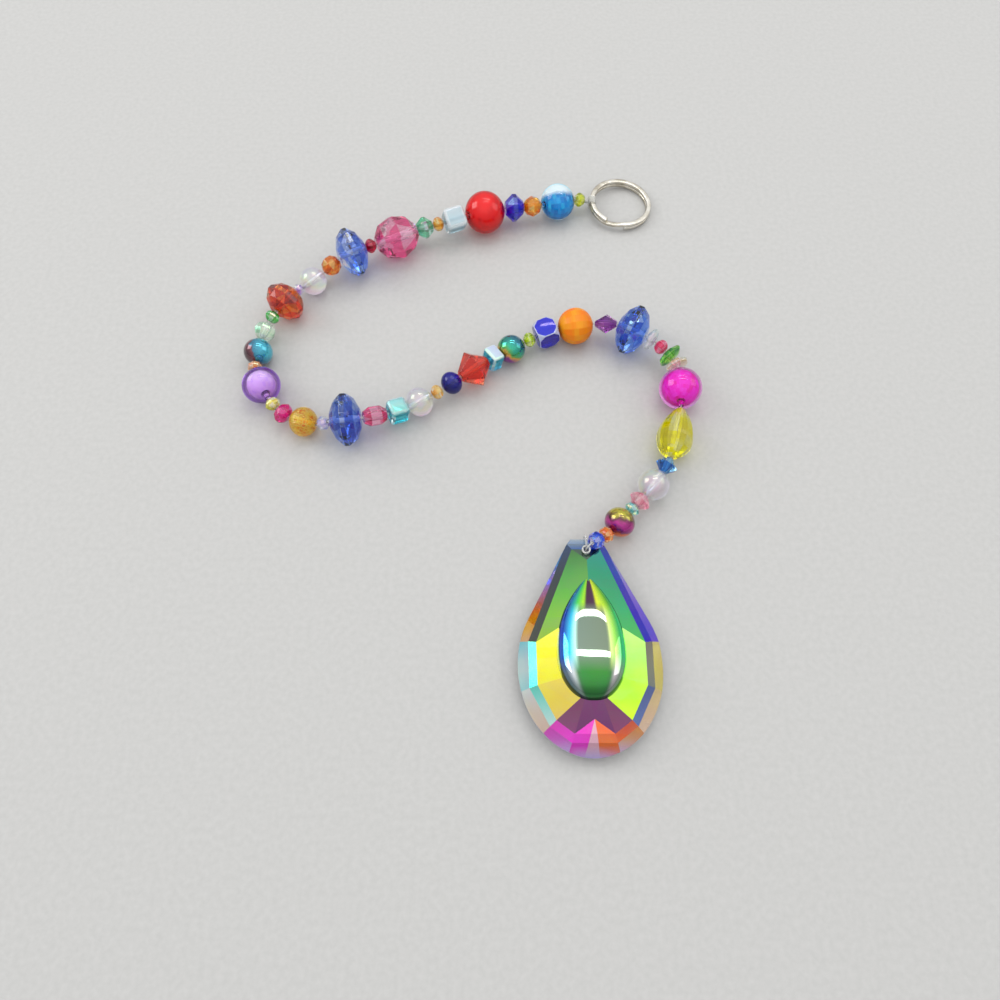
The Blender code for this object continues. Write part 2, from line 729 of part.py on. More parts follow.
def make_thread(joints, ring_side, hole, parts, cutters):
    """One nylon line: through every bead, looped and knotted to the ring and to the drop."""
    ring_height = 2 * RING_WIRE_HEIGHT + RING_TURN_GAP
    to_ring = Vector((ring_side.x - joints[0].x, ring_side.y - joints[0].y, 0)).normalized()
    middle = Vector((ring_side.x, ring_side.y, RING_LIFT + ring_height / 2))
    wide = RING_WIRE_WIDTH / 2 + THREAD_DIAMETER / 2 + RING_LOOP_SLACK
    high = ring_height / 2 + THREAD_DIAMETER / 2 + 1.5 * GAP
    ring_knot = middle - to_ring * (wide + 0.2)
    loop = [ring_knot + to_ring * 0.2 - Vector((0, 0, 0.46))]
    for degrees in range(215, 530, 45):
        angle = math.radians(degrees)
        up = Vector((0, 0, high * math.sin(angle)))
        loop.append(middle + to_ring * wide * math.cos(angle) + up)
    loop.append(ring_knot)
    top = DROP_TIP_HEIGHT
    drop_knot = Vector((hole.x, hole.y, top + KNOT_OVER_TIP))
    clear = THREAD_DIAMETER / 2 + GAP
    outside = DROP_HOLE_FROM_TIP + 1.5 * clear
    round_tip = (
        (0.0, top + 0.2),
        (0.0, (top + height_under(0.0)) / 2),
        (0.0, height_under(0.0) + clear),
        (clear, 0.65 * height_under(clear)),
        (3 * clear, 0.5 * height_under(3 * clear)),
        (outside - 4 * clear, 0.5 * height_under(outside - 4 * clear)),
        (outside - clear, 0.6 * height_under(outside - clear)),
        (outside, 0.95 * height_under(outside)),
        (outside, (top + height_under(outside)) / 2 - 2 * clear),
        (outside - clear, (top + height_under(outside)) / 2),
        (outside - 4 * clear, top - 1.4 * clear),
        (outside - 8 * clear, top + 2 * clear),
        (clear, top + KNOT_OVER_TIP + 0.05),
    )
    ending = [drop_knot] + [Vector((hole.x, hole.y + along, up)) for along, up in round_tip]
    strand = smooth_line(loop, 2) + joints + smooth_line(ending, 2)
    made = tube("stringing_thread", strand, THREAD_DIAMETER, THREAD_SIDES, parts)
    for spot in (ring_knot, drop_knot):
        bm = bmesh.new()
        place = Matrix.Translation(spot * MM)
        bmesh.ops.create_uvsphere(
            bm, u_segments=8, v_segments=6, radius=KNOT_DIAMETER * MM / 2, matrix=place
        )
        combine(made, object_from(bm, "knot", cutters), "UNION")
    made.name = "stringing_thread"
    made.data.materials.clear()
    made.data.materials.append(material("clear_nylon", "DAD9D2", 0.3))
    return made


# Assembly

def centre_on_origin(made):
    """Moves everything so that the origin is under the middle of the whole object."""
    bpy.context.view_layer.update()
    corners = [part.matrix_world @ vertex.co for part in made for vertex in part.data.vertices]
    low = Vector(min(corner[axis] for corner in corners) for axis in range(3))
    high = Vector(max(corner[axis] for corner in corners) for axis in range(3))
    shift = Vector((-(low.x + high.x) / 2, -(low.y + high.y) / 2, -low.z))
    for part in made:
        part.matrix_world = Matrix.Translation(shift) @ part.matrix_world


def main():
    for old in list(bpy.data.objects):
        bpy.data.objects.remove(old)
    parts = new_collection("crystal_suncatcher")
    cutters = new_collection("cutters")
    joints = thread_joints()
    made = []
    for number, bead in enumerate(BEADS):
        made.append(make_bead(number, bead, joints, parts, cutters))
    away = Vector((joints[0].x - joints[1].x, joints[0].y - joints[1].y, 0)).normalized()
    ring_side = Vector((joints[0].x, joints[0].y, 0)) + away * RING_TO_BEAD
    made.append(make_ring(parts, cutters, ring_side, Vector((1, 0.02, 0)).normalized()))
    onward = Vector((joints[-1].x - joints[-2].x, joints[-1].y - joints[-2].y, 0)).normalized()
    hole = Vector((joints[-1].x, joints[-1].y, 0)) + onward * DROP_TO_BEAD
    drop = make_drop(parts, cutters)
    drop.matrix_world = Matrix.Translation(
        Vector((hole.x, hole.y - DROP_LENGTH + DROP_HOLE_FROM_TIP, 0)) * MM
    )
    made.append(drop)
    made.append(make_thread(joints, ring_side, hole, parts, cutters))
    centre_on_origin(made)


main()
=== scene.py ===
import math
from collections import namedtuple

import bmesh
import bpy
import numpy as np
from mathutils import Euler, Matrix, Vector


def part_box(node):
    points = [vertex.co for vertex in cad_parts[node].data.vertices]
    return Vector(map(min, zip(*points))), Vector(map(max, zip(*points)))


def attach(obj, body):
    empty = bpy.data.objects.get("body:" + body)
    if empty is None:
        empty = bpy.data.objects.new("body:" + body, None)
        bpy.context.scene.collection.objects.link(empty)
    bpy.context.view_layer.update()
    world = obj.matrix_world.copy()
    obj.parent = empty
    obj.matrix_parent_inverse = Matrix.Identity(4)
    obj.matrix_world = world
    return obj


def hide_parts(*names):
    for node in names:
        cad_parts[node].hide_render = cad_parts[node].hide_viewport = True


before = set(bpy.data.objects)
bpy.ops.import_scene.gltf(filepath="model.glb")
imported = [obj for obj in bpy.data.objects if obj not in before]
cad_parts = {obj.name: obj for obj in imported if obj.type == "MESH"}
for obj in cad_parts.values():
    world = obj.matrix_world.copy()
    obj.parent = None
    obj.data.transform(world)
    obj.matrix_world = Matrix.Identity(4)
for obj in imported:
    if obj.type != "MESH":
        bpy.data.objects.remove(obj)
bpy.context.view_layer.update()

# Split ring
# Not quite two turns of flattened spring steel, nickel plated and tumbled until its edges are soft.
# The strand hangs from it. The thread tied to its near side holds that side off the table.
MM = 0.001
RING_OUTER = 19.95 * MM
WIRE_WIDTH = 1.5 * MM
WIRE_HEIGHT = 1.05 * MM
WIRE_EDGE = 0.3 * MM
WIRE_END = 0.12 * MM  # rounding of the wire's two cut ends
TURN_GAP = 0.12 * MM
RING_LIFT = 1.7 * MM
RING_TURNS = 1.9
CROSSING = 0.14  # share of a turn in which one turn climbs over the other
WIRE_START = 0.76  # where the wire starts, in turns from +X
WIRE_STEPS = 180
RING_RADIUS = (RING_OUTER - WIRE_WIDTH) / 2
RING_PITCH = WIRE_HEIGHT + TURN_GAP
ring_low, ring_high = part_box("split_ring")
RING_MIDDLE = Vector(((ring_low.x + ring_high.x) / 2, (ring_low.y + ring_high.y) / 2, 0))


def linear(hexadecimal):
    """The linear colour of an sRGB hex value."""
    channels = []
    for start in (0, 2, 4):
        value = int(hexadecimal[start : start + 2], 16) / 255
        channels.append(value / 12.92 if value <= 0.04045 else ((value + 0.055) / 1.055) ** 2.4)
    return (*channels, 1.0)


def feed(node, sockets):
    """Fills a node's sockets, each with a value, another node's output or a node's first output."""
    for name, value in sockets.items():
        if isinstance(value, bpy.types.Node):
            value = value.outputs[0]
        if isinstance(value, bpy.types.NodeSocket):
            node.id_data.links.new(value, node.inputs[name])
        else:
            node.inputs[name].default_value = value


def add(tree, kind, sockets=None, stops=(), **settings):
    """Adds a shader node with its settings, what its sockets are fed with, and a ramp's stops."""
    node = tree.nodes.new("ShaderNode" + kind)
    for name, value in settings.items():
        setattr(node, name, value)
    feed(node, sockets or {})
    if stops:
        marks = node.color_ramp.elements
        for _ in stops[2:]:
            marks.new(0.5)
        for mark, (position, colour) in zip(marks, stops):
            mark.position = position
            mark.color = linear(colour)
    return node


def surface(name, plain):
    """A material of this name whose Principled shader has these plain values."""
    made = bpy.data.materials.new(name)
    made.use_nodes = True
    shader = made.node_tree.nodes["Principled BSDF"]
    feed(shader, plain)
    return made, made.node_tree, shader


def new_piece(name):
    """Names the primitive that was just added, and opens it for editing."""
    made = bpy.context.object
    made.name = name
    made.data.name = name
    bpy.ops.object.mode_set(mode="EDIT")
    return made


def choose(kind, wanted):
    """Selects the verts, edges or faces of the mesh in edit mode that pass the test."""
    mesh = bmesh.from_edit_mesh(bpy.context.object.data)
    mesh.select_mode = {kind[:-1].upper()}
    bpy.context.tool_settings.mesh_select_mode = [kind == each for each in ("verts", "edges", "faces")]
    for group in (mesh.verts, mesh.edges, mesh.faces):
        for item in group:
            item.select_set(False)
    for item in list(getattr(mesh, kind)):
        if wanted(item):
            item.select_set(True)
    mesh.select_flush_mode()
    bmesh.update_edit_mesh(bpy.context.object.data)


def put(made, place):
    """Closes the edit, and moves a piece to its place with its object left at the origin."""
    if bpy.context.object.mode == "EDIT":
        bpy.ops.object.mode_set(mode="OBJECT")
    bpy.ops.object.select_all(action="DESELECT")
    made.select_set(True)
    bpy.context.view_layer.objects.active = made
    made.matrix_world = place @ made.matrix_world
    bpy.ops.object.transform_apply(location=True, rotation=True, scale=True)


def hand_over(made, slot, material, *nodes):
    """Gives a piece its finish, its body and the CAD nodes that it stands for; slot is not used."""
    made.data.materials.clear()
    made.data.materials.append(material)
    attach(made, "root")
    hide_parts(*nodes)


bpy.ops.mesh.primitive_plane_add(size=WIRE_WIDTH, location=(RING_RADIUS, 0, 0), rotation=(math.pi / 2, 0, 0))
split_ring = new_piece("split_ring_wire")
bpy.ops.transform.resize(value=(1, 1, WIRE_HEIGHT / WIRE_WIDTH))
bpy.ops.mesh.bevel(offset=WIRE_EDGE, segments=4, affect="VERTICES")
TURN_STEP = 2 * math.pi * RING_TURNS / WIRE_STEPS
climbed = 0.0
for step in range(1, WIRE_STEPS + 1):
    share = (RING_TURNS * (step / WIRE_STEPS - 0.5)) / CROSSING + 0.5
    share = min(1.0, max(0.0, share))
    height = RING_PITCH * share * share * (3 - 2 * share)
    bpy.ops.mesh.extrude_region_move(TRANSFORM_OT_translate={"value": (0, 0, height - climbed)})
    bpy.ops.transform.rotate(value=-TURN_STEP, orient_axis="Z", center_override=(0, 0, 0))
    climbed = height
choose("faces", lambda face: len(face.verts) > 4)
bpy.ops.mesh.bevel(offset=WIRE_END, segments=2, affect="EDGES")
bpy.ops.mesh.select_all(action="SELECT")
bpy.ops.mesh.normals_make_consistent(inside=False)
ring_lean = Matrix.Rotation(math.asin(RING_LIFT / RING_OUTER), 4, Vector((-0.02, 1, 0)))
ring_turn = Matrix.Rotation(2 * math.pi * WIRE_START, 4, "Z")
ring_height = Vector((0, 0, (WIRE_HEIGHT + RING_LIFT) / 2))
put(split_ring, Matrix.Translation(RING_MIDDLE + ring_height) @ ring_lean @ ring_turn)
bpy.ops.object.shade_smooth_by_angle(angle=math.radians(40))

# Nickel plate on drawn steel wire: a warm white metal whose faint lines run round with the wire.
nickel, tree, shader = surface("nickel_plated_steel", {"Metallic": 1.0, "Roughness": 0.2})
DRAWN_LINE = 0.09 * MM
coords = add(tree, "TexCoord")
from_middle = {"Vector": coords.outputs["Object"], "Location": RING_MIDDLE}
spot = add(tree, "Mapping", from_middle, vector_type="TEXTURE")
flat = add(tree, "VectorMath", {0: spot, 1: (1, 1, 0)}, operation="MULTIPLY")
radius = add(tree, "VectorMath", {0: flat}, operation="LENGTH")
split = add(tree, "SeparateXYZ", {0: spot})
along = add(tree, "CombineXYZ", {"X": radius.outputs["Value"], "Z": split.outputs["Z"]})
lines = add(tree, "TexNoise", {"Vector": along, "Scale": 1 / DRAWN_LINE, "Detail": 2.0})
handling = add(tree, "TexNoise", {"Vector": spot, "Scale": 260.0, "Detail": 4.0})
PLATE = ((0.3, "A89F8C"), (0.5, "D2CCBE"), (0.7, "E6E2D8"))
plate = add(tree, "ValToRGB", {"Fac": handling}, stops=PLATE)
gloss = add(tree, "MapRange", {"Value": lines, "To Min": 0.12, "To Max": 0.34})
scored = add(tree, "Bump", {"Height": lines, "Strength": 0.25, "Distance": 0.02 * MM})
feed(shader, {"Base Color": plate, "Roughness": gloss, "Normal": scored})
hand_over(split_ring, "nickel_steel", nickel, "split_ring")

# Stringing thread
# One clear nylon monofilament. It starts in a knot, is wound round the ring's near side, goes through
# every bead, and ends in a loop through the drop's hole and round its tip.
THREAD = 0.45 * MM
THREAD_SIDES = 12
BEADS = sorted(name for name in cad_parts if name.startswith("bead_"))
Place = namedtuple("Place", "middle axis turn length width")


def middle_of(node):
    low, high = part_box(node)
    return (low + high) / 2


def bead_place(node):
    """A bead's middle, its hole's direction towards the drop, its turn, length and width."""
    corners = np.array([vertex.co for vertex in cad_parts[node].data.vertices])
    corners = np.unique(corners.round(6), axis=0)
    middle = corners.mean(axis=0)
    spread, directions = np.linalg.eigh(np.cov((corners - middle).T))
    lone = 0 if spread[1] - spread[0] > spread[2] - spread[1] else 2
    axis = directions[:, lone]
    order = BEADS.index(node)
    before = middle_of(BEADS[max(order - 1, 0)])
    after = middle_of(BEADS[min(order + 1, len(BEADS) - 1)])
    if np.dot(axis, after - before) < 0:
        axis = -axis
    reach = (corners - middle) @ axis
    off = np.linalg.norm(corners - middle - np.outer(reach, axis), axis=1)
    middle = middle + axis * (reach.max() + reach.min()) / 2
    axis = Vector(axis)
    turn = axis.to_track_quat("Z", "Y").to_euler()
    return Place(Vector(middle), axis, turn, reach.max() - reach.min(), 2 * off.max())


places = {node: bead_place(node) for node in BEADS}


def wound(middle, across, up, wide, high, onward, turns, steps, start=0.0, curve=0.6):
    """Points of a winding that moves onward with each turn; a curve under one makes it squarer."""
    points = []
    for step in range(round(turns * steps) + 1):
        angle = start + 2 * math.pi * step / steps
        c, s = math.cos(angle), math.sin(angle)
        side = math.copysign(abs(c) ** curve, c) * wide
        lift = math.copysign(abs(s) ** curve, s) * high
        points.append(middle + across * side + up * lift + onward * (step / steps))
    return points


first = places[BEADS[0]]
WOUND_TURNS = 5.5
WOUND_PITCH = 0.55 * MM
KNOT_TURNS = 3
KNOT_RADIUS = 0.4 * MM
KNOT_PITCH = 0.35 * MM
KNOT_OFF = 0.75 * MM  # from the first bead's hole
SLACK = 0.1 * MM  # between the winding and the wire
UP = Vector((0, 0, 1))
near_wire = RING_MIDDLE + Vector((-RING_RADIUS, 0, RING_LIFT + WIRE_HEIGHT + TURN_GAP / 2))
strand_start = first.middle - first.axis * (first.length / 2)
to_ring = (near_wire - strand_start).normalized()
knot_at = strand_start + to_ring * KNOT_OFF
knot_side = to_ring.cross(UP).normalized()
knot = wound(
    middle=knot_at - to_ring * 0.5 * MM, across=knot_side, up=knot_side.cross(to_ring),
    wide=KNOT_RADIUS, high=KNOT_RADIUS, onward=to_ring * KNOT_PITCH, turns=KNOT_TURNS, steps=10,
)
tail = [knot[0] + Vector((-0.3, 1.1, 1.0)) * MM, knot[0] + Vector((0.0, 0.5, 0.35)) * MM]
winding = wound(
    middle=near_wire - Vector((0, WOUND_PITCH * WOUND_TURNS / 2, 0)), across=Vector((1, 0, 0)), up=UP,
    wide=WIRE_WIDTH / 2 + THREAD / 2 + SLACK,
    high=RING_PITCH / 2 + WIRE_HEIGHT / 2 + THREAD / 2 + SLACK,
    onward=Vector((0, WOUND_PITCH, 0)), turns=WOUND_TURNS, steps=14, start=math.radians(200),
)
route = tail + knot + winding + [knot_at]
for node in BEADS:
    bead = places[node]
    route.append(bead.middle - bead.axis * bead.length / 2)
    route.append(bead.middle + bead.axis * bead.length / 2)

HOLE_FROM_TIP = 4.3 * MM
drop_low, drop_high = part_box("crystal_drop")
DROP_X = (drop_low.x + drop_high.x) / 2
hole = Vector((DROP_X, drop_high.y - HOLE_FROM_TIP, 0))
TIP_LOOP = (  # down through the hole, under the tip and back over it, in mm from the hole's foot
    (0.1, 0.2, 7.6), (0, 0, 6.6), (0, 0, 4.0), (0, 0, 1.9), (0, 0.35, 0.95), (0, 1.3, 0.75), (0, 3.2, 1.2),
    (0, 4.5, 2.1), (0, 4.85, 3.6), (0.05, 4.6, 5.2), (0.1, 3.7, 6.35), (0.1, 2.2, 7.15), (0.05, 1.0, 7.6),
)
route += [hole + Vector(point) * MM for point in TIP_LOOP]
COIL_RADIUS = 0.95 * MM
COIL_TURNS = 1.8
route += wound(
    middle=hole + Vector((0, -0.1, 7.05)) * MM, across=Vector((1, 0, 0)), up=Vector((0, 1, 0.1)),
    wide=COIL_RADIUS, high=COIL_RADIUS, onward=Vector((0, 0, 0.35)) * MM, turns=COIL_TURNS, steps=16,
    start=math.radians(90), curve=1.0,
)

line = bpy.data.curves.new("stringing_thread_line", "CURVE")
line.dimensions = "3D"
line.bevel_depth = THREAD / 2
line.bevel_resolution = THREAD_SIDES // 2 - 2
line.use_fill_caps = True
spline = line.splines.new("POLY")
spline.points.add(len(route) - 1)
for point, place in zip(spline.points, route):
    point.co = (*place, 1)
thread = bpy.data.objects.new("stringing_thread_line", line)
bpy.context.scene.collection.objects.link(thread)
bpy.ops.object.select_all(action="DESELECT")
thread.select_set(True)
bpy.context.view_layer.objects.active = thread
bpy.ops.object.convert(target="MESH")
thread = bpy.context.object
bpy.ops.object.shade_smooth_by_angle(angle=math.radians(60))

# Extruded nylon: nearly clear, a little milky where it is wound, with a soft shine along it.
CLEAR_PLASTIC = {"Roughness": 0.15, "IOR": 1.53, "Transmission Weight": 0.6, "Coat Weight": 0.4}
nylon, tree, shader = surface("clear_nylon_monofilament", CLEAR_PLASTIC)
coords = add(tree, "TexCoord")
cloud = add(tree, "TexNoise", {"Vector": coords.outputs["Object"], "Scale": 900.0, "Detail": 2.0})
MILK = ((0.3, "E0E0DA"), (0.7, "F8F8F4"))
milk = add(tree, "ValToRGB", {"Fac": cloud}, stops=MILK)
feed(shader, {"Base Color": milk})
hand_over(thread, "clear_nylon", nylon, "stringing_thread")

# Cut glass beads
# Small beads pressed from coloured glass rod, ground to facets and polished, with a rough drilled hole.
# Their edges are softened by the last polish. Some have a thin iridescent coat on one side.
SMALL_HOLE = 1.1 * MM
LARGE_HOLE = 1.4 * MM
LARGE_BEAD = 5.0 * MM
LIP = 0.12 * MM
FILM = 410.0  # nanometres of iridescent coat
FILM_IOR = 1.33
CutBead = namedtuple("CutBead", "node deep tint flash film milky")


def ease_edges(node, width):
    """Merges a CAD bead's loose facets, and rounds its edges as the last polish does."""
    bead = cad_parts[node]
    weld = bead.modifiers.new("merged facets", "WELD")
    weld.merge_threshold = 0.01 * MM
    flat = bead.modifiers.new("flat facets", "DECIMATE")
    flat.decimate_type = "DISSOLVE"
    flat.angle_limit = math.radians(1.0)
    eased = bead.modifiers.new("eased edges", "BEVEL")
    eased.width = width
    eased.segments = 2
    eased.limit_method = "ANGLE"
    eased.angle_limit = math.radians(9)
    return bead


def ball(name, width, length, hole, place, sides):
    """A ball on the thread's line, whose poles are opened and bridged to make its hole."""
    width = min(width, 2 * place.middle.z)  # it rests on the table
    rings = round(math.pi / math.asin(hole / width))
    rings += rings % 2
    bpy.ops.mesh.primitive_uv_sphere_add(segments=sides, ring_count=rings, radius=width / 2)
    made = new_piece(name)
    choose("verts", lambda vert: math.hypot(vert.co.x, vert.co.y) < 0.1 * hole)
    bpy.ops.mesh.delete(type="VERT")
    bpy.ops.mesh.select_all(action="SELECT")
    bpy.ops.transform.resize(value=(1, 1, length / width))
    choose("edges", lambda edge: edge.is_boundary)
    bpy.ops.mesh.bridge_edge_loops()
    choose("edges", lambda edge: len(edge.link_faces) == 2 and edge.calc_face_angle(0) > math.radians(50))
    bpy.ops.mesh.bevel(offset=LIP, segments=2, affect="EDGES")
    bpy.ops.mesh.select_all(action="SELECT")
    bpy.ops.mesh.normals_make_consistent(inside=False)
    put(made, Matrix.Translation(place.middle) @ place.turn.to_matrix().to_4x4())
    bpy.ops.object.shade_smooth_by_angle(angle=math.radians(35))
    return made


def in_bead(tree, place):
    """The place on a bead, measured from its middle with Z along its hole."""
    coords = add(tree, "TexCoord")
    on_bead = {"Vector": coords.outputs["Object"], "Location": place.middle, "Rotation": place.turn}
    return add(tree, "Mapping", on_bead, vector_type="TEXTURE")


def hole_wall(tree, spot, diameter):
    """One in the drilled hole's wall and nothing elsewhere."""
    flat = add(tree, "VectorMath", {0: spot, 1: (1, 1, 0)}, operation="MULTIPLY")
    away = add(tree, "VectorMath", {0: flat}, operation="LENGTH").outputs["Value"]
    edge = {"From Min": diameter * 0.52, "From Max": diameter * 0.58, "To Min": 1.0, "To Max": 0.0}
    return add(tree, "MapRange", {"Value": away, **edge})


def cut_glass(look):
    """Cut and polished glass: clear colour, painted light and shade that change from facet to facet, a
    ground white hole.
    """
    place = places[look.node]
    film = {"Thin Film Thickness": FILM if look.film else 0.0, "Thin Film IOR": FILM_IOR + look.film}
    made, tree, shader = surface(look.node[8:] + "_cut_glass", {"IOR": 1.54, **film})
    # painted light and shade: each facet gets a darker, plain or paler tone by the way it faces, as if lit
    # through from different sides
    face = add(tree, "NewGeometry")
    side = add(tree, "Mapping", {"Vector": face.outputs["True Normal"], "Location": place.middle * 100})
    facet_shading = add(tree, "TexNoise", {"Vector": side, "Scale": 2.1, "Detail": 0.0})
    facet_shade_to_light = ((0.36, look.deep), (0.45, look.tint), (0.55, look.tint), (0.64, look.flash))
    body = add(tree, "ValToRGB", {"Fac": facet_shading}, stops=facet_shade_to_light)
    spot = in_bead(tree, place)
    streak = add(tree, "TexNoise", {"Vector": spot, "Scale": 340.0, "Detail": 3.0})
    swirl = add(tree, "Mix", {0: streak, 6: linear("FFFFFF"), 7: linear("F0F0F0")}, data_type="RGBA")
    both = {0: 1.0, 6: body, 7: swirl.outputs[2]}
    coloured = add(tree, "Mix", both, data_type="RGBA", blend_type="MULTIPLY")
    wall = hole_wall(tree, spot, LARGE_HOLE if place.width > LARGE_BEAD else SMALL_HOLE)
    ground = add(tree, "Mix", {0: wall, 6: coloured.outputs[2], 7: linear("FBF8FC")}, data_type="RGBA")
    rough = add(tree, "MapRange", {"Value": wall, "To Min": 0.03, "To Max": 0.6})
    clear = add(tree, "MapRange", {"Value": wall, "To Min": 1.0 - look.milky, "To Max": 0.35})
    ripple = add(tree, "TexNoise", {"Vector": spot, "Scale": 900.0, "Detail": 1.0})
    pressed = add(tree, "Bump", {"Height": ripple, "Strength": 0.08, "Distance": 0.05 * MM})
    feed(shader, {"Base Color": ground.outputs[2], "Roughness": rough, "Transmission Weight": clear})
    feed(shader, {"Normal": pressed})
    return made


def faceted_ball(look, hole, sides, glass):
    """A cut bead's own ball, left flat between its edges so that it shows its facets."""
    place = places[look.node]
    made = ball(look.node[5:] + "_faceted", place.width, place.length, hole, place, sides)
    bpy.ops.object.shade_flat()
    hand_over(made, look.node[8:], glass, look.node)
    return made


FINE_EDGE = 0.07 * MM
SEED_SIDES = 8
# Columns: node, a facet's painted shade, body colour, a facet's painted light, iridescent film, milkiness
CUT_BEADS = (
    ("bead_03_orange_round_small", "F46400", "FFA010", "FFE080", 0.0, 0.25),
    ("bead_04_cobalt_rondelle", "1000A0", "2814D8", "A098FF", 0.3, 0.2),
    ("bead_08_emerald_rondelle", "00A870", "38E0A8", "E8FFF8", 0.6, 0.15),
    ("bead_12_orange_round_b", "E85800", "FF8410", "FFD070", 0.0, 0.25),
    ("bead_22_fuchsia_rondelle", "B80060", "FF0890", "FF90D0", 0.0, 0.2),
    ("bead_26_rose_barrel", "D01850", "FF4088", "FFC0D8", 0.0, 0.15),
    ("bead_37_amethyst_bicone", "701890", "B048C0", "F8C8FF", 0.2, 0.05),
    ("bead_45_navy_bicone", "002C88", "0868D8", "98D8FF", 0.2, 0.05),
    ("bead_47_pink_rondelle", "FF7898", "FFB0C0", "FFF0F0", 0.3, 0.2),
)
SEED_BEADS = (
    ("bead_01_citrine_seed", "B0C000", "ECF000", "FFFFC0", 0.3, 0.3),
    ("bead_07_amber_seed_a", "F09010", "FFB840", "FFF0B0", 0.3, 0.3),
    ("bead_10_garnet_seed", "900014", "D80030", "FF7080", 0.0, 0.15),
    ("bead_14_lilac_spacer", "B088F0", "E0C0FF", "FFF8FF", 0.5, 0.3),
    ("bead_16_peridot_seed", "009020", "20D040", "D8FFE0", 0.5, 0.25),
    ("bead_17_pale_green_crystal", "A8E0B8", "ECFFE8", "FFFFFF", 0.4, 0.2),
    ("bead_19_orange_seed_a", "FF9040", "FFC080", "FFF0E0", 0.3, 0.35),
    ("bead_21_lemon_seed", "F0D810", "FFF850", "FFFFE8", 0.5, 0.3),
    ("bead_24_lilac_seed", "A098F0", "D8D0FF", "FFFFFF", 0.5, 0.3),
    ("bead_29_amber_seed_b", "FFA840", "FFD880", "FFF8E0", 0.3, 0.35),
    ("bead_34_lime_seed", "A0C800", "DCF800", "F8FFB0", 0.3, 0.3),
    ("bead_39_clear_disc", "D8E0E8", "FCFCFF", "FFFFFF", 0.5, 0.35),
    ("bead_40_coral_seed", "F01058", "FF4880", "FFB8CC", 0.0, 0.3),
    ("bead_41_green_disc", "189010", "58D820", "E0FF80", 0.3, 0.2),
    ("bead_42_peach_disc", "F8C8A8", "FFECDC", "FFFFFF", 0.5, 0.25),
    ("bead_48_aqua_spacer", "40C8E0", "A8F0F0", "FFFFC0", 0.5, 0.25),
    ("bead_50_orange_seed_b", "FF6800", "FF9830", "FFE0A8", 0.0, 0.35),
    ("bead_51_cobalt_seed", "0010C8", "2048FF", "D8D0FF", 0.3, 0.2),
)
for look in map(CutBead._make, CUT_BEADS):
    ease_edges(look.node, FINE_EDGE).material_slots[0].material = cut_glass(look)
for look in map(CutBead._make, SEED_BEADS):
    faceted_ball(look, SMALL_HOLE, SEED_SIDES, cut_glass(look))

# Large cut beads
# Big faceted rondelles and balls of acrylic, moulded and polished: light and very clear, so the white
# ground hole shows right through them. The honey one is crazed inside and the tangerine one frosted.
BROAD_EDGE = 0.14 * MM
LEMON_SIDES = 12
HONEY_SIDES = 16
TANGERINE_SIDES = 16
LARGE_CUT_BEADS = (
    ("bead_09_rose_crystal_round", "F03C80", "FF68A4", "FFECF4", 0.2, 0.1),
    ("bead_11_sapphire_rondelle_a", "1840D0", "5C8CFF", "F0F8FF", 0.2, 0.0),
    ("bead_15_vermilion_rondelle", "981000", "F02800", "FFA048", 0.0, 0.1),
    ("bead_25_sapphire_rondelle_b", "143CC8", "5484F8", "ECF4FF", 0.2, 0.0),
    ("bead_31_scarlet_bicone", "E41400", "FF3010", "FFA478", 0.0, 0.1),
    ("bead_38_sapphire_rondelle_c", "1044D8", "5490FF", "E8F8FF", 0.2, 0.0),
)
for look in map(CutBead._make, LARGE_CUT_BEADS):
    ease_edges(look.node, BROAD_EDGE).material_slots[0].material = cut_glass(look)

# The lemon drop is a ball drawn out towards its upper end, with long narrow facets.
FLARE, EASE = 0.32, 0.1  # how much wider it gets towards one end, and how much of that eases off
WIDEST = 1.07
lemon = CutBead("bead_44_lemon_drop", "F0E400", "FFF800", "FFFFB8", 0.2, 0.15)
place = places[lemon.node]
drawn = faceted_ball(lemon, LARGE_HOLE, LEMON_SIDES, cut_glass(lemon))
bpy.ops.object.mode_set(mode="EDIT")
mesh = bmesh.from_edit_mesh(drawn.data)
for vertex in mesh.verts:
    along = (vertex.co - place.middle).dot(place.axis)
    on_axis = place.middle + place.axis * along
    share = 2 * along / place.length
    vertex.co = on_axis + (vertex.co - on_axis) * (1 + FLARE * share - EASE * share * share) / WIDEST
bmesh.update_edit_mesh(drawn.data)
bpy.ops.object.mode_set(mode="OBJECT")

CRACK = 1.0 * MM
honey = CutBead("bead_23_honey_crackle_round", "FF7400", "FFA800", "FFD820", 0.0, 0.25)
honey_glass = cut_glass(honey)
tree = honey_glass.node_tree
shader = tree.nodes["Principled BSDF"]
spot = in_bead(tree, places[honey.node])
cells = add(tree, "TexVoronoi", {"Vector": spot, "Scale": 1 / CRACK}, feature="DISTANCE_TO_EDGE")
crack = add(tree, "MapRange", {"Value": cells, "From Max": 0.2, "To Min": 0.95, "To Max": 0.0})
uncracked = shader.inputs["Base Color"].links[0].from_socket
crazed = add(tree, "Mix", {0: crack, 6: uncracked, 7: linear("FFF050")}, data_type="RGBA")
ridge = add(tree, "Bump", {"Height": crack, "Strength": 0.7, "Distance": 0.1 * MM})
feed(shader, {"Base Color": crazed.outputs[2], "Normal": ridge})
faceted_ball(honey, LARGE_HOLE, HONEY_SIDES, honey_glass)

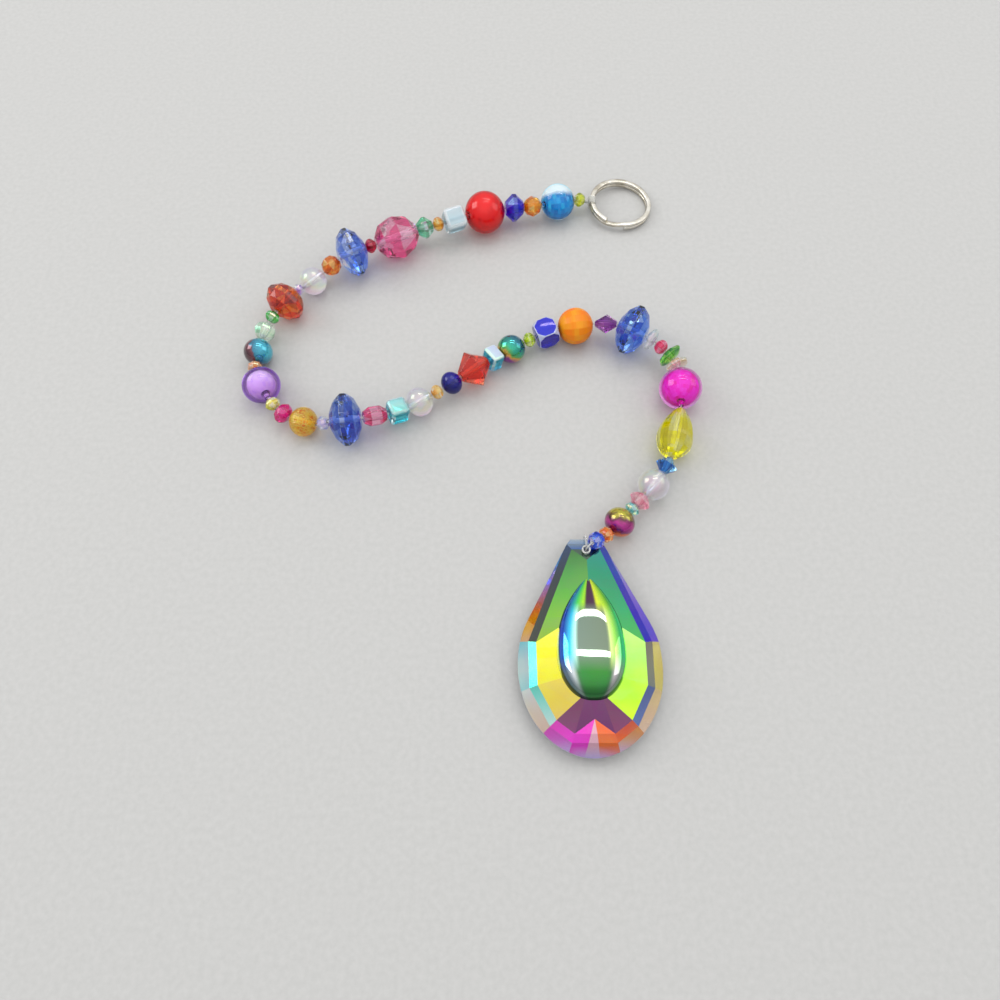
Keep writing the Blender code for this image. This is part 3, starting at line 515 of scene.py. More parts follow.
FROST = 0.25 * MM
tangerine = CutBead("bead_36_tangerine_round", "FF8600", "FF9000", "FFA40C", 0.0, 0.75)
tangerine_acrylic = cut_glass(tangerine)
tree = tangerine_acrylic.node_tree
shader = tree.nodes["Principled BSDF"]
shader.inputs["Specular IOR Level"].default_value = 0.2
spot = in_bead(tree, places[tangerine.node])
frost = add(tree, "TexNoise", {"Vector": spot, "Scale": 1 / FROST, "Detail": 3.0})
etched = add(tree, "MapRange", {"Value": frost, "To Min": 0.24, "To Max": 0.5})
grain = add(tree, "Bump", {"Height": frost, "Strength": 0.5, "Distance": 0.04 * MM})
feed(shader, {"Roughness": etched, "Normal": grain})
faceted_ball(tangerine, LARGE_HOLE, TANGERINE_SIDES, tangerine_acrylic)

# Cube beads
# Moulded glass cubes and a flat tile with rounded edges, drilled through. The opal one is milky, the
# teal ones have an iridescent coat, all are painted paler and milkier on their upward faces as light
# from above, and the cobalt one's corners are cut.
CUBE_FILM = 380.0
CUBE_SEGMENTS = 6
FLAT = 0.97  # a face that points this much one way is on the cube's flat side
CubeBead = namedtuple("CubeBead", "node width length cut soft roll body coat edge milky veil film")
# coat is the paler colour painted on the upward faces as light from above; edge is the light painted in the
# rounded edges
CUBES = (
    ("bead_06_opal_cube", 6.6, 6.6, 0, 1.3, -27, "A4CCD8", "D8ECF0", "F8FFFF", 0.25, 0.4, 0.2),
    ("bead_27_teal_cube", 5.7, 5.5, 0, 1.1, 0, "10A8B8", "D0FFF8", "F0FFFC", 0.1, 0.3, 0.4),
    ("bead_32_teal_tile", 5.6, 4.0, 0, 0.9, 0, "28A8C8", "E4DCFC", "F4FCFF", 0.2, 0.6, 0.5),
    ("bead_35_cobalt_cube", 6.4, 6.3, 1.7, 0.35, 0, "0818B0", "1430E0", "E4ECFF", 0.5, 0.5, 0.2),
)


def rounded_cube(name, look, place):
    """A cube with round edges, drilled through, turned as its CAD node is and then rolled."""
    bpy.ops.mesh.primitive_cylinder_add(vertices=32, radius=LARGE_HOLE / 2, depth=2 * look.length * MM)
    drill = bpy.context.object
    bpy.ops.mesh.primitive_cube_add(size=look.width * MM)
    made = new_piece(name)
    bpy.ops.transform.resize(value=(1, 1, look.length / look.width))
    if look.cut:
        bpy.ops.mesh.bevel(offset=look.cut * MM, affect="VERTICES")
        bpy.ops.mesh.select_all(action="SELECT")
    bpy.ops.mesh.bevel(offset=look.soft * MM, segments=CUBE_SEGMENTS, affect="EDGES")
    bpy.ops.object.mode_set(mode="OBJECT")
    rounded = made.data.attributes.new("rounded", "FLOAT", "FACE")
    for polygon in made.data.polygons:
        rounded.data[polygon.index].value = max(abs(part) for part in polygon.normal) < FLAT
    drilled = made.modifiers.new("drilled", "BOOLEAN")
    drilled.object = drill
    drilled.operation = "DIFFERENCE"
    bpy.ops.object.modifier_apply(modifier=drilled.name)
    bpy.data.objects.remove(drill)
    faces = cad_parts[look.node].data.polygons
    sides = [face for face in faces if abs(face.normal.dot(place.axis)) < 0.1]
    side = max(sides, key=lambda face: face.area).normal.copy()
    side = Matrix.Rotation(math.radians(look.roll), 3, place.axis) @ side
    turn = Matrix((side, place.axis.cross(side), place.axis)).transposed()
    put(made, Matrix.Translation(place.middle) @ turn.to_4x4())
    bpy.ops.object.shade_smooth_by_angle(angle=math.radians(35))
    return made


def moulded_glass(look):
    """Moulded cube glass: one body colour, a paler colour painted on top as light, and painted light
    gathered in its edges.
    """
    place = places[look.node]
    glass = {"Roughness": 0.06, "IOR": 1.52, "Specular IOR Level": 0.35}
    film = {"Thin Film Thickness": CUBE_FILM, "Thin Film IOR": FILM_IOR + look.film}
    made, tree, shader = surface(look.node[8:] + "_moulded_glass", {**glass, **film})
    face = add(tree, "NewGeometry")
    split = add(tree, "SeparateXYZ", {0: face.outputs["Normal"]})
    spot = in_bead(tree, place)
    drift = add(tree, "TexNoise", {"Vector": spot, "Scale": 260.0, "Detail": 2.0})
    wander = add(tree, "MapRange", {"Value": drift, "To Min": -0.35, "To Max": 0.35})
    upward = add(tree, "Math", {0: split.outputs["Z"], 1: wander}, operation="ADD")
    # painted light: upward faces turn to the paler coat colour and grow milkier, the rounded edges take the
    # pale edge colour
    from_side, to_top = 0.45, 0.8
    lit_top_stops = ((0.1, look.body), (from_side, look.body), (to_top, look.coat))
    coat = add(tree, "ValToRGB", {"Fac": upward}, stops=lit_top_stops)
    rounded = add(tree, "Attribute", attribute_name="rounded")
    parts = {0: rounded.outputs["Fac"], 6: coat, 7: linear(look.edge)}
    edged = add(tree, "Mix", parts, data_type="RGBA")
    upper = {"Value": upward, "From Min": from_side, "From Max": to_top}
    veil = add(tree, "MapRange", {**upper, "To Min": 1.0 - look.milky, "To Max": 1.0 - look.veil})
    dimple = add(tree, "Bump", {"Height": drift, "Strength": 0.2, "Distance": 0.1 * MM})
    feed(shader, {"Base Color": edged.outputs[2], "Normal": dimple, "Transmission Weight": veil})
    return made


for look in map(CubeBead._make, CUBES):
    cube = rounded_cube(look.node[5:] + "_rounded", look, places[look.node])
    hand_over(cube, look.node[8:], moulded_glass(look), look.node)

# Smooth round beads
# Balls of lampworked or pressed glass and cast acrylic, with the hole drilled or moulded through.
# Each is turned to lie with its hole on the thread's line.
BALL_SIDES = 72


def across_bead(tree, place, direction, wander):
    """From nothing on one side of a bead to one on the other, with a wavering edge."""
    coords = add(tree, "TexCoord")
    radii = (place.width / 2,) * 3
    in_radii = {"Vector": coords.outputs["Object"], "Location": place.middle, "Scale": radii}
    spot = add(tree, "Mapping", in_radii, vector_type="TEXTURE")
    towards = {0: spot, 1: Vector(direction).normalized()}
    reach = add(tree, "VectorMath", towards, operation="DOT_PRODUCT")
    drift = add(tree, "TexNoise", {"Vector": spot, "Scale": 1.6, "Detail": 2.0, "Distortion": 0.6})
    shift = add(tree, "MapRange", {"Value": drift, "To Min": -wander, "To Max": wander})
    total = add(tree, "Math", {0: reach.outputs["Value"], 1: shift}, operation="ADD")
    return add(tree, "MapRange", {"Value": total, "From Min": -1.0})


# Iris glass: dark glass fumed with metal oxides, so its skin runs through several metal colours.
IrisBead = namedtuple("IrisBead", "node width length direction metal stops")
IRIS_BEADS = (
    ("bead_18_iris_round_brown", 8.3, 7.8, (1, 0.2, 0.3), 0.35,
     ((0.2, "401828"), (0.42, "7C3440"), (0.48, "6C4858"), (0.54, "1080A0"), (0.9, "40C8E0"))),
    ("bead_33_iris_round_green", 8.3, 8.2, (0.5, 0.6, 0.6), 0.7,
     ((0.16, "902898"), (0.3, "E8A838"), (0.42, "58A84C"), (0.6, "10A884"), (0.9, "147890"))),
    ("bead_49_iris_round_magenta", 8.3, 7.5, (0.2, 0.8, 0.6), 0.6,
     ((0.16, "F07018"), (0.3, "780868"), (0.5, "C00C90"), (0.68, "5C2830"), (0.85, "C8C030"))),
)
for look in map(IrisBead._make, IRIS_BEADS):
    place = places[look.node]
    bead = ball(look.node[5:] + "_ball", look.width * MM, look.length * MM, LARGE_HOLE, place, BALL_SIDES)
    glass = {"IOR": 1.52, "Transmission Weight": 0.5, "Coat Weight": 0.8, "Coat Roughness": 0.02}
    fumed, tree, shader = surface(look.node[8:] + "_fumed_glass", {"Metallic": look.metal, **glass})
    drift = across_bead(tree, place, look.direction, 0.45)
    skin = add(tree, "ValToRGB", {"Fac": drift}, stops=look.stops)
    pits = add(tree, "TexNoise", {"Vector": in_bead(tree, place), "Scale": 1500.0})
    gloss = add(tree, "MapRange", {"Value": pits, "To Min": 0.02, "To Max": 0.1})
    feed(shader, {"Base Color": skin, "Roughness": gloss})
    hand_over(bead, look.node[8:], fumed, look.node)

# Clear glass with a thin coat of metal oxide, which shows pale lilac, yellow and green by turns.
CLEAR_BEADS = (
    ("bead_13_clear_round_a", 8.3, 8.0, (0.3, 0.5, 0.8)),
    ("bead_28_clear_round_b", 8.3, 7.5, (-0.4, 0.3, 0.8)),
    ("bead_46_clear_round_c", 8.6, 8.4, (0.2, -0.6, 0.7)),
)
CLEAR_GLASS = {"IOR": 1.52, "Transmission Weight": 0.84, "Coat Weight": 0.6}
RAINBOW_FILM = {"Thin Film Thickness": 420.0, "Thin Film IOR": 1.75}
RAINBOW = ((0.2, "FFE0F4"), (0.4, "FFFFFF"), (0.52, "FFFFD8"), (0.64, "E4FFF4"), (0.8, "F0ECFF"))
for node, width, length, direction in CLEAR_BEADS:
    place = places[node]
    bead = ball(node[5:] + "_ball", width * MM, length * MM, LARGE_HOLE, place, BALL_SIDES)
    rainbow, tree, shader = surface(node[8:] + "_rainbow_glass", {**CLEAR_GLASS, **RAINBOW_FILM})
    drift = across_bead(tree, place, direction, 0.7)
    tints = add(tree, "ValToRGB", {"Fac": drift}, stops=RAINBOW)
    wall = hole_wall(tree, in_bead(tree, place), LARGE_HOLE)
    ground = add(tree, "Mix", {0: wall, 6: tints, 7: linear("F8F6F8")}, data_type="RGBA")
    rough = add(tree, "MapRange", {"Value": wall, "To Min": 0.02, "To Max": 0.15})
    feed(shader, {"Base Color": ground.outputs[2], "Roughness": rough})
    hand_over(bead, node[8:], rainbow, node)

# Solid cobalt glass, painted almost black towards its underside as shade and a brighter blue towards its top
# as light.
NAVY = "bead_30_navy_round"
bead = ball("30_navy_round_ball", 6.6 * MM, 5.8 * MM, LARGE_HOLE, places[NAVY], BALL_SIDES)
DARK_GLASS = {"Roughness": 0.04, "IOR": 1.52, "Transmission Weight": 0.8, "Specular IOR Level": 0.2}
NAVY_SHADE_TO_LIGHT = ((0.1, "040448"), (0.6, "060680"), (0.95, "1010C8"))
navy_glass, tree, shader = surface("navy_round_pressed_glass", DARK_GLASS)
depth = across_bead(tree, places[NAVY], (0.2, 0.3, 1), 0.3)
cobalt = add(tree, "ValToRGB", {"Fac": depth}, stops=NAVY_SHADE_TO_LIGHT)
feed(shader, {"Base Color": cobalt})
hand_over(bead, "navy_round", navy_glass, NAVY)

# Beads with a core
# Two-shot acrylic balls: a coloured core is moulded first and a clear or tinted ball is cast round it,
# so the core glows through the outer skin, enlarged by it, like a bead inside a bead.
CORE_HOLE = 2.0 * MM
CAP_FROM, CAP_TO = 0.56, 0.7  # where the paler cap of a ball starts and is full, across the ball
CoreBead = namedtuple(
    "CoreBead", "node width length core sides skin rim rim_from top veil inner_deep inner inner_flash"
)
CORE_BEADS = (
    ("bead_02_azure_core_round",
     11.0, 10.6, 7.3, 14, "E4FEFF", "B8F0FC", 0.6, "F4FFF8", 0.6, "0080D8", "0098F0", "30C8FF"),
    ("bead_05_red_core_round",
     12.8, 12.5, 8.4, 40, "FF2018", "D00404", 0.45, "FF3828", 0.0, "F00400", "FF0C04", "FF2818"),
    ("bead_20_violet_core_round",
     10.8, 10.1, 5.5, 40, "D8A0FC", "6428A8", 0.28, "E4C0FF", 0.0, "F0E0FF", "FFF8FF", "FFFFFF"),
    ("bead_43_magenta_core_round",
     12.0, 11.7, 7.0, 40, "FF78F0", "FFC0F4", 0.42, "FF90F0", 0.0, "F000B0", "FF10E0", "FF60F0"),
)
for look in map(CoreBead._make, CORE_BEADS):
    place = places[look.node]
    name = look.node[5:]
    slot = look.node[8:]
    bead = ball(name + "_ball", look.width * MM, look.length * MM, LARGE_HOLE, place, BALL_SIDES)
    skin, tree, shader = surface(slot + "_cast_acrylic", {"IOR": 1.49, "Specular IOR Level": 0.2})
    # painted light: the cap on the ball's upper far side, towards the lamps beyond, is paler, and also
    # milkier and rougher
    rise = across_bead(tree, place, (-0.1, 0.85, 0.5), 0.15)
    tints = ((0.0, look.skin), (CAP_FROM, look.skin), (CAP_TO, look.top))
    cast = add(tree, "ValToRGB", {"Fac": rise}, stops=tints)
    slant = add(tree, "LayerWeight", {"Blend": 0.5}).outputs["Facing"]
    rim = {"Value": slant, "From Min": look.rim_from, "From Max": look.rim_from + 0.2}
    grazing = add(tree, "MapRange", rim)
    rimmed = add(tree, "Mix", {0: grazing, 6: cast, 7: linear(look.rim)}, data_type="RGBA")
    cap = {"Value": rise, "From Min": CAP_FROM, "From Max": CAP_TO}
    veil = add(tree, "MapRange", {**cap, "To Min": 1.0, "To Max": 1.0 - look.veil})
    frosted = add(tree, "MapRange", {**cap, "To Min": 0.02, "To Max": 0.02 + look.veil * 0.5})
    feed(shader, {"Base Color": rimmed.outputs[2], "Roughness": frosted, "Transmission Weight": veil})
    hand_over(bead, slot, skin, look.node)
    core = ball(name + "_core", look.core * MM, look.core * MM, CORE_HOLE, place, look.sides)
    if look.sides < 20:
        bpy.ops.object.shade_flat()
    solid = {"Roughness": 0.5, "IOR": 1.49, "Specular IOR Level": 0.1}
    pigment, tree, shader = surface(slot + "_core_acrylic", solid)
    # painted light and shade: each facet of the core gets a darker, plain or paler tone by the way it faces
    face = add(tree, "NewGeometry")
    facet_shading = add(tree, "TexNoise", {"Vector": face.outputs["True Normal"], "Scale": 2.3, "Detail": 1.0})
    tints = ((0.34, look.inner_deep), (0.5, look.inner), (0.68, look.inner_flash))
    inside = add(tree, "ValToRGB", {"Fac": facet_shading}, stops=tints)
    feed(shader, {"Base Color": inside})
    hand_over(core, slot, pigment)

# Crystal drop
# A flat-backed pendant of lead crystal. Its crown and two rows of bevels are cut with flat wheels
# round a smooth raised cabochon, and the front has a coat of metal oxides that splits its colours.
DROP_WIDTH = 35.2 * MM
DROP_TIP_WIDTH = 7.2 * MM
DROP_BELLY = 21.6 * MM
BACK_SLOPE = math.radians(28)
HOLE = 1.9 * MM
TIP_HEIGHT = 6.2 * MM
UNDERCUT = 9.5 * MM  # where the back starts to rise towards the tip
UNDERCUT_SLOPE = math.radians(14)
CROWN_INSET = 3.9 * MM
CROWN_CORNERS = (16, -18, -50, -70)  # directions from the belly, in degrees
CROWN_HEIGHT = 7.4 * MM
SHOULDER_HEIGHT = 8.2 * MM
BEVEL_WIDTH = 1.9 * MM
BEVEL_SLOPES = (math.radians(30), math.radians(43))
CABOCHON_LENGTH = 31.5 * MM
CABOCHON_WIDTH = 16.8 * MM
CABOCHON_START = 11.9 * MM
CABOCHON_BELLY = 11.3 * MM
CABOCHON_TOP = 12.6 * MM
CABOCHON_BASE = 6.5 * MM
CABOCHON_FULLNESS = 2.3
CREST = 6.0 * MM  # the cabochon's highest place, from its round end
CREST_FALL = 1.8  # power of the ridge's fall towards the point
ROOF_POWER = 3.2  # over two: flatter on top and steeper at the sides than an ellipse
POINT_HEIGHT = 1.5 * MM  # the ridge over its base at the point
DROP_LENGTH = drop_high.y - drop_low.y
OUTLINE_SIDES = 192
SLICE = 2.5 * MM

bpy.ops.mesh.primitive_cylinder_add(
    vertices=OUTLINE_SIDES, radius=DROP_WIDTH / 2, depth=CABOCHON_TOP,
    location=(0, DROP_BELLY, CABOCHON_TOP / 2),
)
drop = new_piece("crystal_drop_cut")
bpy.ops.transform.resize(value=(1, 2 * DROP_BELLY / DROP_WIDTH, 1))
bpy.ops.mesh.primitive_cube_add(
    size=DROP_TIP_WIDTH, location=(0, DROP_LENGTH - DROP_TIP_WIDTH / 2, CABOCHON_TOP / 2)
)
bpy.ops.transform.resize(value=(1, 1, CABOCHON_TOP / DROP_TIP_WIDTH))
bpy.ops.mesh.select_all(action="SELECT")
bpy.ops.mesh.convex_hull()
bpy.ops.mesh.dissolve_limited(angle_limit=math.radians(0.2))

corners = [Vector((DROP_TIP_WIDTH / 2, DROP_LENGTH - CROWN_INSET, TIP_HEIGHT))]
for degrees in CROWN_CORNERS:
    angle = math.radians(degrees)
    x = (DROP_WIDTH / 2 - CROWN_INSET) * math.cos(angle)
    y = DROP_BELLY + (DROP_BELLY - CROWN_INSET) * math.sin(angle)
    corners.append(Vector((x, y, CROWN_HEIGHT)))
corners += [Vector((-corner.x, corner.y, corner.z)) for corner in reversed(corners)]

# What each facet's coat shows from its end nearer the tip: its tints, and how much of a mirror it is
Facet = namedtuple("Facet", "point normal tints mirror")
facets = []


def grind(point, normal, tints, mirror):
    """Grinds a flat facet: takes off what lies past a plane and notes its coat."""
    bpy.ops.mesh.select_all(action="SELECT")
    bpy.ops.mesh.bisect(
        plane_co=Vector(point), plane_no=normal, use_fill=True, clear_outer=True, threshold=1e-7
    )
    facets.append(Facet(Vector(point), Vector(normal).normalized(), tints, mirror))


def upward_normal(start, end, inner):
    """The upward normal of the plane through three points."""
    normal = (end - start).cross(inner - start).normalized()
    return normal if normal.z > 0 else -normal


# For each edge of the crown, from the tip down its right side and up its left: the crown facet, then
# the inner and the outer bevel
COAT = (
    ("3A9C90 3CA47C 48B470 58C468", "3C60C8 5048D8 5034E4", "D8C8F0 A890FF 8058FF 7048FF"),
    ("C4FCA0 B8F470 B8F044", "585040 606048 505850", "FFEC90 FCE474 F4E478"),
    ("B8F41C B4EC00 BCEC10", "5C6CA8 6878B8 7088C8", "FFE4A0 FFDCB4 FFDCCC"),
    ("643858 78385C", "E86838 FF7020", "FFA058 FFC090 ECD0F4"),
    ("6C3064 602858", "B040A8 B848B8", "F070E0 F098F0 E0D0FF"),
    ("643454 743860", "E038B8 F830D0", "FF50DC F070E0 E0C0FC"),
    ("DCC840 C8B83C C8A850", "60D0BC 98E0D0 C8E8E0", "F8FFFF FFECD8 FFDCC8"),
    ("F4F400 ECE800 D8D410", "08C09C 18C8AC 30C8AC", "98F0FF F0FFFF B8F8FF"),
    ("4C7848 58A050 6CB44C 84BC48 94B440", "405880 4C5458 505850 585C50",
     "4888F0 80C0FF B0A8F8 F09090 FF9850 FFC018 F0B890"),
    ("607868 607868", "9CB0C0 5C88D8", "C8D8E8 90B4E8"),
)
CROWN_MIRROR, BEVEL_MIRROR, RIM_MIRROR, BACK_MIRROR = 0.92, 0.6, 0.25, 0.05
belly = Vector((0, DROP_BELLY, 0))
for number, (start, end) in enumerate(zip(corners, corners[1:] + corners[:1])):
    crown_coat, inner_coat, outer_coat = [tints.split() for tints in COAT[number]]
    along = (end - start).normalized()
    outward = along.cross(UP).normalized()
    if outward.dot(start - belly) < 0:
        outward = -outward
    foot = start.lerp(end, 0.5) - outward * (DROP_WIDTH - CABOCHON_WIDTH) / 4
    shoulder = Vector((foot.x, foot.y, SHOULDER_HEIGHT))
    grind(start, upward_normal(start, end, shoulder), crown_coat, CROWN_MIRROR)
    near, far = BEVEL_SLOPES
    step = outward * BEVEL_WIDTH - UP * BEVEL_WIDTH * math.tan(near)
    past = outward - UP * math.tan(near)
    grind(start, upward_normal(start, end, start + past), inner_coat, BEVEL_MIRROR)
    past = outward - UP * math.tan(far)
    grind(start + step, upward_normal(start, end, start + past), outer_coat, RIM_MIRROR)
for start, end in zip(corners, corners[1:] + corners[:1]):
    along = Vector((end.x - start.x, end.y - start.y, 0)).normalized()
    outward = along.cross(UP)
    if outward.dot(start - belly) < 0:
        outward = -outward
    normal = outward * math.sin(BACK_SLOPE) - UP * math.cos(BACK_SLOPE)
    grind((start.x, start.y, 0), normal, ["C8DCE0", "D8D0E8"], BACK_MIRROR)
normal = Vector((0, math.sin(UNDERCUT_SLOPE), -math.cos(UNDERCUT_SLOPE)))
grind((0, DROP_LENGTH - UNDERCUT, 0), normal, ["D0E0E0", "D0E0E0"], BACK_MIRROR)
facets.append(Facet(Vector(), Vector((0, 0, -1)), ["D4DCE4", "DCD4E4"], BACK_MIRROR))

# The facets are scored across in slices, so that each holds all the tints that run along it
for level in range(1, int(DROP_LENGTH / SLICE) + 1):
    bpy.ops.mesh.select_all(action="SELECT")
    bpy.ops.mesh.bisect(plane_co=(0, level * SLICE, 0), plane_no=(0, 1, 0))

# Below the cabochon the back's facets, as seen through the crystal, are painted on as a star, with three
# rays from one point and a pale lilac towards the rim as its lit edge
STAR = Vector((0.0, 8.2 * MM, 0.0))
RAY_ENDS = (corners[4], corners[5], Vector((-2.3 * MM, 0, 0)), Vector((1.3 * MM, 0, 0)))
for end in RAY_ENDS:
    bpy.ops.mesh.select_all(action="SELECT")
    ray = Vector((end.x - STAR.x, end.y - STAR.y, 0))
    bpy.ops.mesh.bisect(plane_co=STAR, plane_no=ray.cross(UP).normalized())
bpy.ops.object.mode_set(mode="OBJECT")


def cabochon_half_width(share):
    """The cabochon's half width at a share of its length, from its round end to its point."""
    widest = CABOCHON_BELLY / CABOCHON_LENGTH
    if share < widest:
        return CABOCHON_WIDTH / 2 * math.sqrt(max(0.0, 1 - (1 - share / widest) ** 2))
    rise = (share - widest) / (1 - widest)
    return CABOCHON_WIDTH / 2 * (1 - rise**CABOCHON_FULLNESS)


def ridge_height(share):
    """The height of the cabochon's ridge over its base at a share of its length."""
    highest = CREST / CABOCHON_LENGTH
    full = CABOCHON_TOP - CABOCHON_BASE
    if share < highest:
        return full * math.sqrt(max(0.0, 1 - (1 - share / highest) ** 2))
    return full - (full - POINT_HEIGHT) * ((share - highest) / (1 - highest)) ** CREST_FALL


bpy.ops.mesh.primitive_uv_sphere_add(segments=144, ring_count=96, radius=1)
dome = new_piece("cabochon_dome")
bpy.ops.transform.rotate(value=math.pi / 2, orient_axis="X", center_override=(0, 0, 0))
bpy.ops.mesh.bisect(plane_co=(0, 0, -1e-4), plane_no=(0, 0, -1), use_fill=True, clear_outer=True)
mesh = bmesh.from_edit_mesh(dome.data)
for vertex in mesh.verts:
    round_it = max(math.hypot(vertex.co.x, vertex.co.z), 1e-9)
    share = min(1.0, max(0.0, 0.5 + 0.5 * vertex.co.y))
    across, up = abs(vertex.co.x) / round_it, max(vertex.co.z, 0) / round_it
    spread = max(across**ROOF_POWER + up**ROOF_POWER, 1e-9) ** (-1 / ROOF_POWER)
    vertex.co = (
        math.copysign(cabochon_half_width(share) * across * spread, vertex.co.x),
        CABOCHON_START + share * CABOCHON_LENGTH,
        CABOCHON_BASE + ridge_height(share) * up * spread,
    )
bmesh.update_edit_mesh(dome.data)
bpy.ops.mesh.select_all(action="SELECT")
bpy.ops.mesh.remove_doubles(threshold=0.01 * MM)
bpy.ops.mesh.normals_make_consistent(inside=False)
bpy.ops.object.mode_set(mode="OBJECT")

bpy.ops.mesh.primitive_cylinder_add(
    vertices=48, radius=HOLE / 2, depth=4 * CABOCHON_TOP, location=(0, DROP_LENGTH - HOLE_FROM_TIP, 0)
)
drill = new_piece("hole_drill")
bpy.ops.object.mode_set(mode="OBJECT")
bpy.context.view_layer.objects.active = drop
for tool, operation in ((dome, "UNION"), (drill, "DIFFERENCE")):
    joint = drop.modifiers.new(tool.name, "BOOLEAN")
    joint.object = tool
    joint.operation = operation
    joint.solver = "EXACT"
    bpy.ops.object.modifier_apply(modifier=joint.name)
    bpy.data.objects.remove(tool)

put(drop, Matrix.Translation((DROP_X, drop_low.y, 0)))
bpy.ops.object.mode_set(mode="EDIT")
bpy.ops.mesh.select_all(action="SELECT")
bpy.ops.mesh.remove_doubles(threshold=0.002 * MM)
bpy.ops.mesh.normals_make_consistent(inside=False)
bpy.ops.object.mode_set(mode="OBJECT")
bpy.ops.object.shade_smooth_by_angle(angle=math.radians(12))

# Across the cabochon from left to right, from its point to its round end. Besides the coat's colours, the
# pale stops at the sides of the panel and of the belly are painted glows of light.
TIP_COAT = (
    (-1.0, "0830B8"), (-0.8, "10A0D8"), (-0.55, "50E060"), (-0.28, "B0EC28"), (-0.17, "4C2C44"),
    (0.17, "54344C"), (0.28, "ECF400"), (0.6, "B8F418"), (0.85, "38D060"), (1.0, "18B480"),
)
PANEL_COAT_AND_GLOWS = (
    (-1.0, "1038C8"), (-0.86, "0C68E8"), (-0.66, "20D8FF"), (-0.5, "C8FFF0"), (-0.43, "7C9080"),
    (0.44, "7C8C74"), (0.5, "ECFF98"), (0.66, "B0FF60"), (0.84, "20F088"), (1.0, "10C870"),
)
BELLY_COAT_AND_GLOWS = (
    (-1.0, "3C5080"), (-0.84, "7890A0"), (-0.66, "D8DCE0"), (-0.52, "448048"), (-0.4, "34883C"),
    (0.4, "34883C"), (0.52, "407C48"), (0.66, "D0C0C8"), (0.84, "90B890"), (1.0, "48A070"),
)
END_COAT = (
    (-1.0, "284C50"), (-0.84, "386458"), (-0.66, "407458"), (-0.52, "2C6C3C"), (-0.4, "247034"),
    (0.4, "247034"), (0.52, "2C6C3C"), (0.66, "487858"), (0.84, "407858"), (1.0, "347460"),
)
DOME_COAT_AND_GLOWS = (
    (0.0, TIP_COAT),
    (0.25, TIP_COAT),
    (0.34, PANEL_COAT_AND_GLOWS),
    (0.66, PANEL_COAT_AND_GLOWS),
    (0.8, BELLY_COAT_AND_GLOWS),
    (1.0, END_COAT),
)


def between(stops, at):
    """The stops on either side of a place, and how far the place is from one to the other."""
    at = min(max(at, stops[0][0]), stops[-1][0])
    for before, after in zip(stops, stops[1:]):
        if at <= after[0]:
            return before[1], after[1], (at - before[0]) / (after[0] - before[0])


def tint_at(stops, at):
    """The linear colour at a place among hex colours."""
    before, after, share = between(stops, at)
    return Vector(linear(before)).lerp(Vector(linear(after)), share)


def spaced(tints):
    """Hex colours as stops, evenly spaced from nothing to one."""
    return [(number / (len(tints) - 1), tint) for number, tint in enumerate(tints)]


BOTTOM_FACETS = (12, 13, 14)  # the crown facet below the cabochon and its two bevels
RAYS = ("F038C8", "E8B0C0", "F87840")  # left, middle and right
STAR_RIM = "C8B8EC"
STAR_RIM_WIDTH = 1.6 * MM
tip_to_rim = Vector((DROP_X, drop_low.y, 0))
coat = drop.data.color_attributes.new("coat_and_glow_tint", "FLOAT_COLOR", "CORNER")
owner = {}
reach = {}
for polygon in drop.data.polygons:
    centre = polygon.center - tip_to_rim
    for number, facet in enumerate(facets):
        on_plane = abs(facet.normal.dot(centre - facet.point)) < 0.03 * MM
        if on_plane and facet.normal.dot(polygon.normal) > 0.9998:
            owner[polygon.index] = number
            for index in polygon.vertices:
                y = drop.data.vertices[index].co.y
                low, high = reach.get(number, (y, y))
                reach[number] = (min(low, y), max(high, y))
            break
for polygon in drop.data.polygons:
    number = owner.get(polygon.index)
    centre = polygon.center - tip_to_rim
    below = STAR.y - centre.y
    star_side = abs(centre.x) * (STAR.y - corners[4].y) / corners[4].x
    in_star = number in BOTTOM_FACETS and below > star_side
    polygon.use_smooth = number is None
    for loop in polygon.loop_indices:
        place = drop.data.vertices[drop.data.loops[loop].vertex_index].co - tip_to_rim
        if in_star:
            left, right = [end.x / STAR.y * below for end in RAY_ENDS[2:]]
            colour = Vector(linear(RAYS[(centre.x > right) - (centre.x < left) + 1]))
            colour = colour.lerp(Vector(linear(STAR_RIM)), min(1.0, max(0.0, 1 - place.y / STAR_RIM_WIDTH)))
            mirror = BEVEL_MIRROR
        elif number is not None:
            low, high = reach[number]
            share = (high - tip_to_rim.y - place.y) / max(high - low, MM)
            colour = tint_at(spaced(facets[number].tints), share)
            mirror = facets[number].mirror
        elif centre.z > CABOCHON_BASE and polygon.normal.z > 0.02:
            share = (place.y - CABOCHON_START) / CABOCHON_LENGTH
            half = max(cabochon_half_width(min(max(share, 0.0), 1.0)), 0.3 * MM)
            before, after, step = between(DOME_COAT_AND_GLOWS, 1 - share)
            colour = tint_at(before, place.x / half).lerp(tint_at(after, place.x / half), step)
            mirror = CROWN_MIRROR
        else:
            colour = Vector(linear("D8D8F0"))
            mirror = 0.0
        coat.data[loop].color = (*colour[:3], mirror)

# Lead crystal under a vacuum coat of metal oxides: half mirror and half window, in bright flat colours.
LEAD_GLASS = {"Roughness": 0.03, "IOR": 1.6, "Transmission Weight": 0.6}
POLISH = {"Coat Weight": 0.4, "Coat Roughness": 0.01}
crystal, tree, shader = surface("aurora_coated_crystal", {**LEAD_GLASS, **POLISH})
